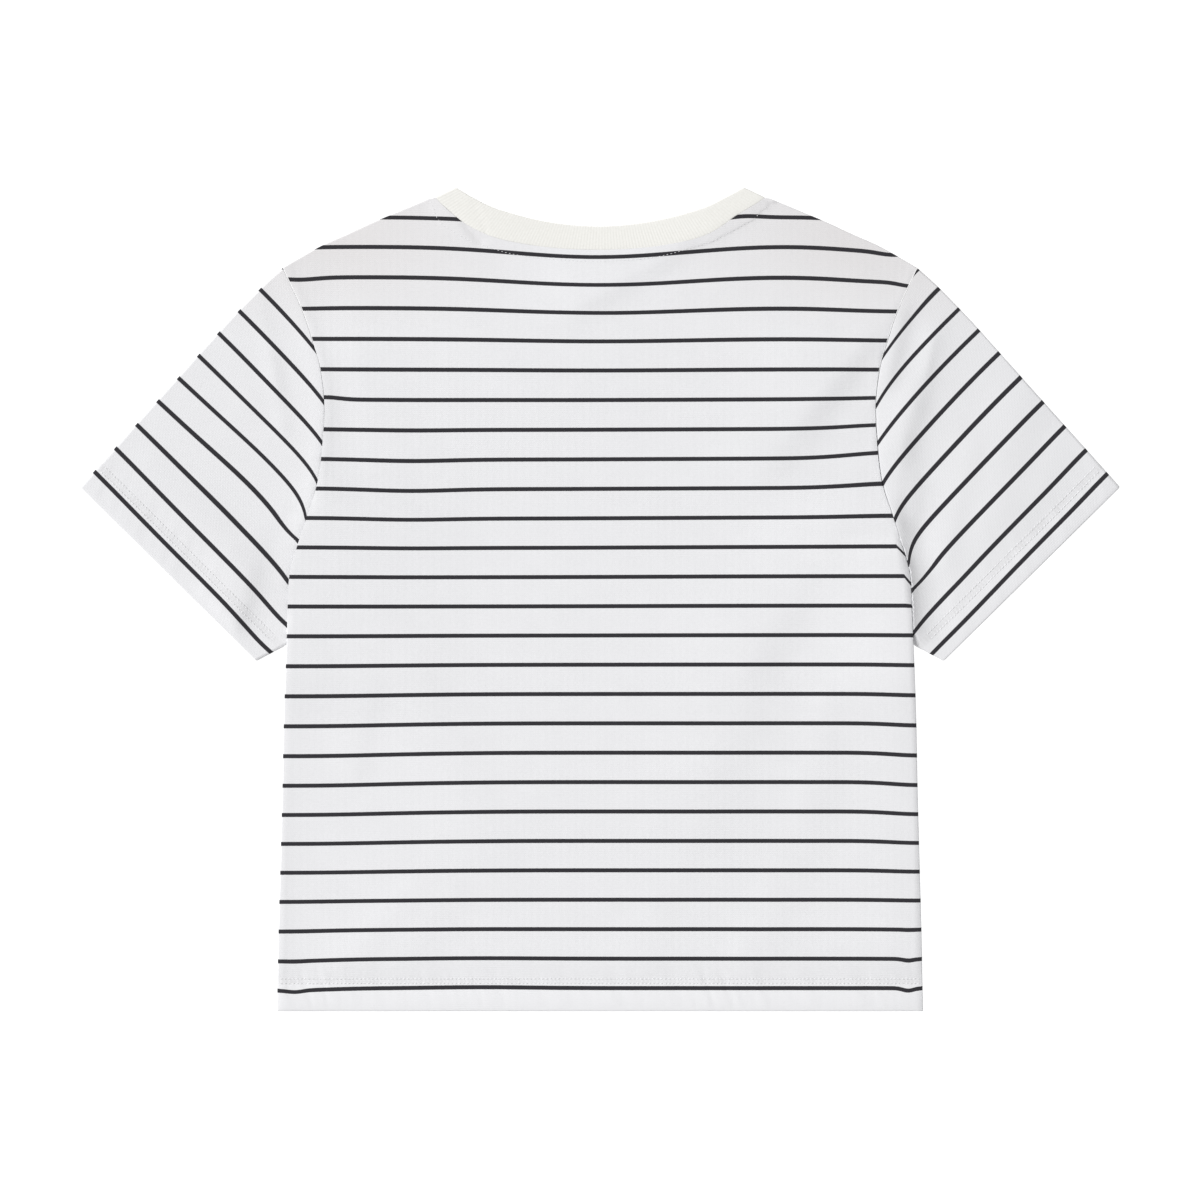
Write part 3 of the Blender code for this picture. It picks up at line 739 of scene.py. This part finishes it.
def sleeve_cloth(side, x, y):
    """Cloth coordinates of a sleeve: along the cuff, and up from its first stripe."""
    from_top = np.column_stack([side * x - CUFF_TOP[0], y - CUFF_TOP[1]])
    across, up = from_top @ SLEEVE_AXIS, from_top @ SLEEVE_ALONG
    seam = np.maximum(side * x - half_width(y), 0)
    pull = pulled(SLEEVE_PULLS[side], across, up) + SLEEVE_SHIFT[side]
    at_seam = np.interp(y, *np.array(SEAM_PULLS[side]).T)
    pull += at_seam * np.exp(-seam / SEAM_PULL_REACH)
    stretched = up - FIRST_SLEEVE_STRIPE - pull
    return across, up, np.column_stack([across, stretched * PITCH / SLEEVE_PITCH])


# %% Laying a sleeve
CUFF_ROWS = (16.8, 20.8)  # of stitches, from the cuff's edge
SLEEVE_RINGS = 110
SLEEVE_COLUMNS = 84
SLEEVE_TURNS = 4  # columns round each half of a side fold
FOLD_POINTS = 800
CUFF_HALF = HEM_WALL + LAYER_GAP / 2
SLEEVE_HALF = WALL + LAYER_GAP / 2
# ridge at the armhole seam and beside it, share of the body's rise that the sleeve follows, pull
# of the cuff's stitches, lift of the cuff's edge, share of the dip and bulge at the underarm
SLEEVE_FORMS = {-1: (0.6, 0.7, 0.2, 0.35, 0.0, 0.4, 0.0), 1: (0.2, 0.4, 0.9, 0.2, 1.2, 1.0, 4.9)}


def sleeve_relief(side, x, y, across, up, spot, from_fold):
    """Seams, creases and edges of a sleeve's upper layer, with x to the right on both sides."""
    at_seam, beside, follow, tension, lift, dip, bulge = SLEEVE_FORMS[side]
    past_seam = x - half_width(y)
    seam = np.maximum(past_seam, 0)
    calm = np.sin(math.pi * np.clip(spot, 0, 1)) ** 0.5  # towards the two side folds
    creases = creased(SLEEVE_CREASES, side * x, y) * calm**0.5 * ramp(0, 10, up)

    ridge = mix(at_seam, beside, ramp(-0.2, 1.2, seam))
    ridge *= 0.4 + 0.6 * fade(np.maximum(seam - 1.5, 0), 7)
    ridge *= ramp(36, 60, y) * fade(np.maximum(seam - 6, 0), 14)
    ridge += gathered(y, 1.2) * np.exp(-seam / 4.0)
    ridge += follow * tuck_lift(side * half_width(y), y) * ramp(34, 50, y) * fade(seam, 8)
    roll = SEAM_ROLL * rounded(seam - SEAM_GAP, SEAM_ROLL) * ramp(20, 46, y)

    cuff = hem_relief(across, up, CUFF_ROWS, tension) + lift * (1 - ramp(0, 36, up))
    underarm = dip * (0.25 * fade(seam, 5) - 0.75 * fade(seam - 15, 9))
    underarm *= 1 - ramp(34, 64, y)
    bulge *= np.exp(-seam / 6.0) * ramp(-0.9, 0.1, past_seam) * ramp(0, 11, from_fold)
    bulge *= ramp(-40, -22, y) * (1 - ramp(20, 50, y))
    return creases + ridge - roll + (cuff + underarm) * calm + bulge


def make_sleeve(name, side):
    """A sleeve, laid as the right one, and mirrored if its side is -1."""
    underarm = (sleeve_edge(TUCK_LOW_Y), TUCK_LOW_Y)
    top_line = curve_through(SLEEVE_TOP, FOLD_POINTS)
    under_line = curve_through(SLEEVE_UNDER + [underarm], FOLD_POINTS)
    # the hem's rings, and then rings that lie closer together towards the armhole
    shares = 1 - np.linspace(1, 0, SLEEVE_RINGS) ** 1.15
    rings = [(y, 0.0, inner) for y, inner in hem_rows(HEM_TURN)]
    rings += [(FOLD_RADIUS, share, 0.0) for share in sorted([*shares, 0.996, 0.998])]
    from_cuff, ring_share, depth = np.array(rings).T
    # columns once round: share of the way from the top fold to the lower one, angle, and layer
    bends = [90 * k / SLEEVE_TURNS for k in range(SLEEVE_TURNS)]
    flat = [0.5 - 0.5 * math.cos(math.pi * k / SLEEVE_COLUMNS) for k in range(SLEEVE_COLUMNS + 1)]
    upper = [(1.0, bend) for bend in bends] + [(1 - share, 90.0) for share in flat]
    upper += [(0.0, bend) for bend in reversed(bends)]
    around = np.array([(s, a, 1) for s, a in upper] + [(s, a, -1) for s, a in upper[::-1]][1:])

    def fold_point(line, ring):
        place = mix(from_cuff[ring] / lengths_along(line)[-1], 1, ring_share[ring])
        at = np.clip(place, 0, 1) * FOLD_POINTS
        return np.column_stack([np.interp(at, range(FOLD_POINTS + 1), xy) for xy in line.T])

    def place(i, j):
        share, angle, layer = around[i].T
        angle = np.radians(angle)
        top, under = fold_point(top_line, j), fold_point(under_line, j)
        from_edge = (top + (under - top) * share[:, None] - CUFF_TOP) @ SLEEVE_ALONG
        half = mix(SLEEVE_HALF, CUFF_HALF, hem_share(from_edge)) - depth[j]
        width = np.hypot(*(under - top).T)
        inset = (half + depth[j]) / width
        outward = np.sign(share - 0.5) * np.cos(angle) * half / width
        spot = mix(inset, 1 - inset, share) + outward
        x, y = (top + (under - top) * spot[:, None]).T
        y_on = mix(SHOULDER_TIP[1], TUCK_LOW_Y, spot)
        chord = mix(sleeve_edge(SHOULDER_TIP[1]), sleeve_edge(TUCK_LOW_Y), spot)
        x = x + (sleeve_edge(y_on) - chord) * ring_share[j] ** 1.5
        across, up, cloth = sleeve_cloth(side, side * x, y)
        relief = sleeve_relief(side, x, y, across, up, spot, (1 - spot) * width)
        z = half + depth[j] + half * layer * np.sin(angle)
        z = z + np.where((layer > 0) & (angle > 1.5), relief, 0)
        # the cuff's stitch rows lie at the body hem's on the second map, which the jersey reads
        low, high = STITCH_ROWS
        up = low + (up - CUFF_ROWS[0]) * (high - low) / (CUFF_ROWS[1] - CUFF_ROWS[0])
        return np.column_stack([side * x, y, z]), cloth, np.column_stack([across, up])

    piece = lay_sheet(name, len(around) - 1, len(depth) - 1, place, closed=True)
    if side < 0:
        run(bpy.ops.mesh.flip_normals)
    return give_wall(piece)


sleeve_l = make_sleeve("sleeve_l", -1)
sleeve_r = make_sleeve("sleeve_r", 1)

# %% [markdown]
# ## The neckband
#
# The band is a strip of rib, folded lengthwise and sewn to a ring. Its folded edge is free and
# rounded, and its cut edges are in the seam. It goes round the neck in one piece: the back half
# on top, a turn over each shoulder, and the front half below.

# %% Neckband
BAND_STATIONS = 300  # along each half
BAND_TURNS = 12  # over each shoulder
BAND_FOLD = 0.9  # how far its rounded fold reaches in
BAND_FLAT = 15.0  # width of the section below, before it is fitted
JOIN_AT, JOIN_WAY = (-80.6, 254.5), (0.93, 0.37)  # the seam that closes the ring, and across it
JOIN_DEPTH, JOIN_REACH = 0.3, 0.8
RIB_PER_DEGREE = 0.03  # cloth taken up by the turn over the shoulder


def once_round(back_points, front_half):
    """Stations along the back half, over the right shoulder, along the front, and back up."""
    back_line = curve_through(back_points, BAND_STATIONS)
    front_line = curve_through(both_sides(front_half), BAND_STATIONS)
    right, left = [back_line[-1:]] * (BAND_TURNS - 1), [back_line[:1]] * BAND_TURNS
    return np.vstack([back_line, *right, front_line[::-1], *left])


def band_section():
    """The band's section, as (from its fold, share of its height), once round from the fold."""
    turns = [math.pi / 2 * k / 9 for k in range(10)]
    upper = [(BAND_FOLD * (1 - math.cos(turn)), math.sin(turn)) for turn in turns]
    upper += [(w, 1.0) for w in (2.5, 4.0, 6.0, 8.0, 10.0)]
    upper += [(11.5, 0.99), (13.0, 0.95), (14.0, 0.9), (14.6, 0.85), (14.85, 0.8), (15.0, 0.7)]
    return np.array(upper + [(w, -h) for w, h in upper[::-1]])


def make_band():
    free = once_round(WHOLE_BACK_FREE, FRONT_FREE + [FREE_END])
    seam = once_round(WHOLE_BACK_SEAM, FRONT_SEAM + [SEAM_END])
    lengths = lengths_along((free + seam) / 2)
    turns = 90 - 180 * np.arange(1, BAND_TURNS) / BAND_TURNS
    level = [90] * (BAND_STATIONS + 1)
    tilt = np.concatenate([level, turns, np.negative(level), turns[::-1], [90]])
    section = band_section()
    turn_radius = (RIB_WALL + LAYER_GAP) / 2
    axis_height = RIB_WALL + LAYER_GAP / 2

    def place(i, j):
        across = seam[i] - free[i]
        width = np.hypot(*across.T)
        w, h = section[j].T
        angle = np.radians(tilt[i])
        w = w * (width - SEAM_GAP / 2) / BAND_FLAT + 0.7 * np.cos(angle) * np.exp(-w)
        h = h * RIB_WALL / 2
        unit = across / width[:, None]
        outward = np.column_stack([-unit[:, 1], unit[:, 0]])
        outward *= np.sign(outward[:, 1:])
        plan = free[i] + unit * w[:, None]
        plan = plan + outward * (np.cos(angle) * TURN_PRESSED * (turn_radius + h))[:, None]
        lying = under_back(*plan.T) + LAYER_GAP + RIB_WALL / 2
        middle = np.where(tilt[i] == 90, lying, axis_height + turn_radius * np.sin(angle))
        dip = JOIN_DEPTH * fade((plan - JOIN_AT) @ JOIN_WAY, JOIN_REACH) * ramp(1, 4, w)
        z = middle + h * np.sin(angle) - dip * (tilt[i] == 90) * (h > 0)
        cloth = np.column_stack([lengths[i] + (90 - tilt[i]) * RIB_PER_DEGREE, w])
        return np.column_stack([plan, z]), cloth, cloth

    piece = lay_sheet("neck_rib", len(free) - 1, len(section) - 1, place, closed=True)
    run(bpy.ops.mesh.normals_make_consistent, inside=False)
    return smooth(piece)


neck_rib = make_band()

# %% [markdown]
# ## The stitches
#
# The hems are sewn with two needles, so two rows of short stitches run side by side on the
# outside. One stitch is modelled, a short bent thread that dives into the cloth at both ends,
# and copied along each row. A ray cast straight down finds the cloth below each one.

# %% One stitch
STITCH_LENGTH = 1.95
THREAD = 0.24  # half its width


def make_stitch():
    """A short flat thread along X that bends down into the cloth, to a point at both ends."""
    bpy.ops.object.select_all(action="DESELECT")
    bpy.ops.mesh.primitive_grid_add(x_subdivisions=6, y_subdivisions=6, size=2)
    stitch = bpy.context.object
    for point in stitch.data.vertices:
        share, turn = point.co.x, (point.co.y + 1) * math.pi
        radius = THREAD * math.sqrt(max(1 - share**6, 0.0))
        point.co.x = share * STITCH_LENGTH / 2
        point.co.y = radius * math.cos(turn) * 1.25
        point.co.z = radius * math.sin(turn) + THREAD * (0.55 - 1.5 * share**4)
    run(bpy.ops.mesh.remove_doubles, threshold=0.001)
    run(bpy.ops.mesh.normals_make_consistent, inside=False)
    return stitch


# %% Rows of stitches
STITCH_PITCH = 2.57
RAY_START = 50.0  # above the table


def row_of_stitches(name, stitch, rows, cloth, looks_down, size=1.0):
    """Copies of the stitch along the rows, laid on the cloth, in one piece of their own."""
    tree = BVHTree.FromPolygons(
        [v.co for v in cloth.data.vertices], [p.vertices for p in cloth.data.polygons]
    )
    down = -1 if looks_down else 1
    model = np.array([v.co for v in stitch.data.vertices]) * size
    shape = [tuple(p.vertices) for p in stitch.data.polygons]
    points, faces = [], []
    for spot, way in (pair for row in rows for pair in zip(*row)):
        start = Vector((*(spot * MM), RAY_START * MM * down))
        hit, normal, _, _ = tree.ray_cast(start, Vector((0, 0, -down)))
        if hit is None:
            continue
        up = normal if normal.z * down > 0 else -normal
        along = Vector((*way, 0.0))
        along = (along - up * along.dot(up)).normalized()
        turned = model @ np.array([along, up.cross(along), up])
        faces += [tuple(len(points) + k for k in face) for face in shape]
        points += [tuple(p) for p in turned * MM + np.array(hit)]
    mesh = bpy.data.meshes.new(name)
    mesh.from_pydata(points, [], faces)
    piece = bpy.data.objects.new(name, mesh)
    bpy.context.scene.collection.objects.link(piece)
    mesh.shade_smooth()
    print(f"{name}: {len(points) // len(model)} stitches, {len(faces)} faces")
    return piece


def hem_row(from_edge):
    """Middles of the stitches of one row of the body's hem, and the way each one runs."""
    y = HEM_Y + from_edge
    count = int((half_width(y) - SIDE_ROLL) / STITCH_PITCH)
    x = (np.arange(-count, count) + 0.5) * STITCH_PITCH
    return np.column_stack([x, np.full(len(x), y)]), np.tile((1.0, 0.0), (len(x), 1))


def cuff_row(side, from_edge):
    """The same for a cuff."""
    across = (np.arange(1, int(CUFF_WIDTH / STITCH_PITCH) - 1) + 0.5) * STITCH_PITCH
    spots = CUFF_TOP + SLEEVE_ALONG * from_edge + SLEEVE_AXIS * across[:, None]
    return spots * (side, 1), np.tile(SLEEVE_AXIS * (side, 1), (len(across), 1))


def tape_row():
    """The same for the tape inside the neck."""
    ends = curve_through(TAPE_STITCHES, int(lengths_along(tape_line)[-1] / STITCH_PITCH))
    return (ends[1:] + ends[:-1]) / 2, np.diff(ends, axis=0)


CUFF_WIDTH = math.hypot(CUFF_TOP[0] - CUFF_LOW[0], CUFF_TOP[1] - CUFF_LOW[1])
stitch = make_stitch()
threads = {
    "hem_stitches_back": (back, [hem_row(d) for d in STITCH_ROWS], False),
    "hem_stitches_front": (front, [hem_row(d) for d in STITCH_ROWS], True),
    "neck_tape_stitches": (back, [tape_row()], False, 0.6),
}
for side, sleeve, word in ((-1, sleeve_l, "l"), (1, sleeve_r, "r")):
    rows = [cuff_row(side, d) for d in CUFF_ROWS]
    threads[f"cuff_stitches_{word}_top"] = (sleeve, rows, False)
    threads[f"cuff_stitches_{word}_under"] = (sleeve, rows, True)
sewn = {
    name: row_of_stitches(name, stitch, rows, cloth, *how)
    for name, (cloth, rows, *how) in threads.items()
}
bpy.data.objects.remove(stitch, do_unlink=True)

# %% [markdown]
# ## White jersey with knitted stripes
#
# Combed cotton, knitted as single jersey: matt, with a little fuzz that catches the light at
# the edges. The stripes are near-black yarn, four courses high, so their edges follow the
# loops. Real loops are 0.7 mm wide, too fine to show here, so they are drawn 1.5 mm wide.

# %% Jersey
LOOP_WIDTH = 1.5
LOOP_HEIGHT = 1.2
STEP = 0.14  # of a stripe's edge, from loop to loop


def make_jersey():
    """Colour and small relief of the knit. Sizes in the cloth's maps are metres."""
    made, tree, shader = new_material("striped cotton jersey", 0.92, 0.25, 0.08)

    # loops: each wale is a row of V shapes, so the courses slant up from its middle
    cloth = node(tree, "SeparateXYZ", {0: node(tree, "UVMap", uv_map="Cloth")})
    wales = node(tree, "Math", {0: cloth.outputs["X"], 1: 1000 / LOOP_WIDTH}, operation="MULTIPLY")
    aside = node(tree, "Math", {0: wales, 1: 0.5}, operation="PINGPONG")
    courses = {0: cloth.outputs["Y"], 1: 1000 / LOOP_HEIGHT, 2: aside}
    courses = node(tree, "Math", courses, operation="MULTIPLY_ADD")
    turns = node(tree, "Math", {0: courses, 1: 2 * math.pi}, operation="MULTIPLY")
    loop = node(tree, "Math", {0: turns}, operation="SINE")
    across = node(tree, "Math", {0: aside, 1: 2 * math.pi}, operation="MULTIPLY")
    leg = node(tree, "Math", {0: across}, operation="SINE")
    knit = node(tree, "Math", {0: loop, 1: 0.5, 2: leg}, operation="MULTIPLY_ADD")

    # the stripes: black yarn for four courses, its edge stepped by the loops
    stripes = node(tree, "Math", {0: cloth.outputs["Y"], 1: 1000 / PITCH}, operation="MULTIPLY")
    away = node(tree, "Math", {0: stripes, 1: 0.5}, operation="PINGPONG")
    edge, soft = STRIPE / 2 / PITCH, STEP / PITCH
    stepped = node(tree, "Math", {0: leg, 1: soft, 2: away}, operation="MULTIPLY_ADD")
    black = node(tree, "MapRange", {0: stepped, 1: edge - soft, 2: edge + soft, 3: 1.0, 4: 0.0})

    # white yarn is never quite even, from thread to thread and over a hand's width
    place = node(tree, "TexCoord").outputs["Object"]
    yarn = node(tree, "TexNoise", {"Vector": place, "Scale": 750.0, "Detail": 2.0})
    tone = node(tree, "TexNoise", {"Vector": place, "Scale": 60.0, "Detail": 3.0})
    slight = node(tree, "Math", {0: tone, 1: 0.4}, operation="MULTIPLY")
    mottle = node(tree, "Math", {0: yarn, 1: 0.7, 2: slight}, operation="MULTIPLY_ADD")

    # two layers let less light through than one, so a hem is whiter up to its stitches
    hem = node(tree, "SeparateXYZ", {0: node(tree, "UVMap", uv_map="Seams")})
    doubled = node(tree, "MapRange", {0: hem.outputs["Y"], 1: 0.0185, 2: 0.0165, 3: 0.0, 4: 1.0})

    # painted shade: the white is a shade darker and warmer over the shoulders, towards their top
    # and outer end
    spot = node(tree, "SeparateXYZ", {0: place})
    outward = node(tree, "Math", {0: spot.outputs["X"]}, operation="ABSOLUTE")
    outer = node(tree, "MapRange", {0: outward, 1: 0.040, 2: 0.160})
    upper = node(tree, "MapRange", {0: spot.outputs["Y"], 1: 0.170, 2: 0.225, 4: 0.75})
    painted_shoulder_shade = node(tree, "Math", {0: outer, 1: upper}, operation="MULTIPLY")

    # painted shade: the white turns a touch greyer outwards past the body's sides, over the sleeves
    painted_sleeve_shade = node(tree, "MapRange", {0: outward, 1: 0.160, 2: 0.235, 3: 0.0, 4: 0.3})

    # between one stitch and the next the two rows pull a small furrow, some deeper than others; its
    # shade is painted, as a darker colour in the furrow
    along = {0: hem.outputs["X"], 1: STITCH_PITCH * MM / 2}
    along = node(tree, "Math", along, operation="PINGPONG")
    furrow = node(tree, "MapRange", {0: along, 1: 0.0002, 2: 0.0011, 3: 1.0, 4: 0.15})
    middle, gap = sum(STITCH_ROWS) / 2 * MM, (STITCH_ROWS[1] - STITCH_ROWS[0]) / 2 * MM
    up = node(tree, "Math", {0: hem.outputs["Y"], 1: middle}, operation="SUBTRACT")
    up = node(tree, "Math", {0: up}, operation="ABSOLUTE")
    between = node(tree, "MapRange", {0: up, 1: gap + 0.0008, 2: gap - 0.0002})
    uneven = node(tree, "TexNoise", {"Vector": place, "Scale": 160.0, "Detail": 1.0})
    uneven = node(tree, "MapRange", {0: uneven, 1: 0.35, 2: 0.65, 3: 0.04, 4: 0.12})
    between = node(tree, "Math", {0: between, 1: uneven}, operation="MULTIPLY")
    painted_furrow_shade = node(tree, "Math", {0: furrow, 1: between}, operation="MULTIPLY")

    # white yarn, and over it each of these where its share is above 0: the whiter doubled hem,
    # painted shade on the shoulders, on the sleeves and in the stitch furrows, and the black
    # stripes
    white = {0: mottle, 6: srgb("#DCDCDE"), 7: srgb("#E8E8EA")}
    colour = node(tree, "Mix", white, data_type="RGBA")
    layers = {
        doubled: "#E4E4E6", painted_shoulder_shade: "#D8D5D5", painted_sleeve_shade: "#D9D9DB", painted_furrow_shade: "#908C88", black: "#2D2C30",
    }
    for share, code in layers.items():
        over = {0: share, 6: colour.outputs[2], 7: srgb(code)}
        colour = node(tree, "Mix", over, data_type="RGBA")
    tree.links.new(colour.outputs[2], shader.inputs["Base Color"])
    height = node(tree, "Math", {0: yarn, 1: 1.2, 2: knit}, operation="MULTIPLY_ADD")
    bump = node(tree, "Bump", {"Strength": 0.35, "Distance": 0.0002, "Height": height})
    tree.links.new(bump.outputs[0], shader.inputs["Normal"])
    return made


jersey = make_jersey()
for piece in (back, front, sleeve_l, sleeve_r):
    piece.data.materials.append(jersey)
print("jersey on 4 pieces")

# %% [markdown]
# ## Ivory rib and white thread
#
# The neckband is 1 by 1 rib of undyed cotton, a little warmer than the jersey. Its ribs run
# from the seam to the fold, with fine grooves between them. The thread is spun polyester, two
# plies twisted together, smoother than cotton, so it has a soft shine and a slanting twist.

# %% Rib and thread
RIB_SPACING = 1.9  # from rib to rib, real ones are 1.4 mm
TWIST = 0.45  # of the thread, from ply to ply


def make_rib():
    made, tree, shader = new_material("ivory cotton rib", 0.92, 0.25, 0.08)
    cloth = node(tree, "SeparateXYZ", {0: node(tree, "UVMap", uv_map="Cloth")})
    turns = {0: cloth.outputs["X"], 1: 2000 * math.pi / RIB_SPACING}
    turns = node(tree, "Math", turns, operation="MULTIPLY")
    rib = node(tree, "Math", {0: turns}, operation="SINE")
    place = node(tree, "TexCoord").outputs["Object"]
    yarn = node(tree, "TexNoise", {"Vector": place, "Scale": 800.0, "Detail": 2.0})
    # the colour is a little darker in the grooves between the ribs, as painted shade, and varies
    # with the yarn
    tone = node(tree, "Math", {0: rib, 1: 0.1, 2: yarn}, operation="MULTIPLY_ADD")
    colour = node(tree, "Mix", {0: tone, 6: srgb("#DFDED9"), 7: srgb("#ECEBE7")}, data_type="RGBA")
    tree.links.new(colour.outputs[2], shader.inputs["Base Color"])
    height = node(tree, "Math", {0: yarn, 1: 0.8, 2: rib}, operation="MULTIPLY_ADD")
    bump = node(tree, "Bump", {"Strength": 0.15, "Distance": 0.0002, "Height": height})
    tree.links.new(bump.outputs[0], shader.inputs["Normal"])
    return made


def make_thread():
    made, tree, shader = new_material("white spun polyester thread", 0.55)
    place = node(tree, "TexCoord").outputs["Object"]
    turned = node(tree, "Mapping", {"Vector": place, "Rotation": (0, 0, 0.7)})
    turned = node(tree, "SeparateXYZ", {0: turned})
    turns = {0: turned.outputs["X"], 1: 2000 * math.pi / TWIST}
    turns = node(tree, "Math", turns, operation="MULTIPLY")
    ply = node(tree, "Math", {0: turns}, operation="SINE")
    # the plies are painted lighter on their crests and darker between them, as painted highlight
    # and shade of the twist
    light = node(tree, "Math", {0: ply, 1: 0.5, 2: 0.5}, operation="MULTIPLY_ADD")
    colour = node(tree, "Mix", {0: light, 6: srgb("#DFDFE1"), 7: srgb("#EEEEEF")}, data_type="RGBA")
    tree.links.new(colour.outputs[2], shader.inputs["Base Color"])
    bump = node(tree, "Bump", {"Strength": 0.4, "Distance": 0.0001, "Height": ply})
    tree.links.new(bump.outputs[0], shader.inputs["Normal"])
    return made


neck_rib.data.materials.append(make_rib())
thread = make_thread()
for piece in sewn.values():
    piece.data.materials.append(thread)
    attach(piece, "root")
print("rib on the band, thread on", len(sewn), "rows of stitches")

# %% Which solid each piece stands for
for piece, solid, slot in (
    (back, "back_panel", "striped_jersey"),
    (front, "front_panel", "striped_jersey"),
    (sleeve_l, "sleeve_left", "striped_jersey"),
    (sleeve_r, "sleeve_right", "striped_jersey"),
    (neck_rib, "neckband", "ivory_rib"),
):
    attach(piece, "root")
    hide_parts(solid)

# %% [markdown]
# ## The cut of each piece
#
# A cutter needs each piece's size as it lies flat on the cloth, before it is sewn. A panel's
# is the room it takes, with its hem turned down. A sleeve is counted all round, because it is a
# tube. The band is cloth folded in two, so both its faces are the cloth's outside. Half of them
# is counted here, which is the strip's full width and half of its length.

# %% Cloth in each piece
UNDERARM_EASE = 12.0  # of the sleeve, below the end of its armhole edge
BAND_CUT = 0.030  # width of the band's strip, in metres


def cloth_area(piece):
    """Area of one layer of the cloth in a piece, in square metres."""
    return sum(face.area for face in piece.data.polygons) / 2


body_cut = (2 * half_width(HEM_Y), NECK_POINT.y - HEM_Y + HEM_TURN)
sleeve_long = np.subtract(SLEEVE_TOP[-1], CUFF_TOP) @ SLEEVE_ALONG + HEM_TURN
arm_deep = 2 * (SHOULDER_TIP[1] - TUCK_LOW_Y + UNDERARM_EASE)
band_long = 1000 * cloth_area(neck_rib) / BAND_CUT
cuts = dict.fromkeys((back, front), body_cut)
cuts |= dict.fromkeys((sleeve_l, sleeve_r), (arm_deep, sleeve_long))
cuts[neck_rib] = (band_long, 2 * RIB_WIDTH)
for piece, (wide, long) in cuts.items():
    rows = [name for name, (cloth, *_) in threads.items() if cloth is piece]
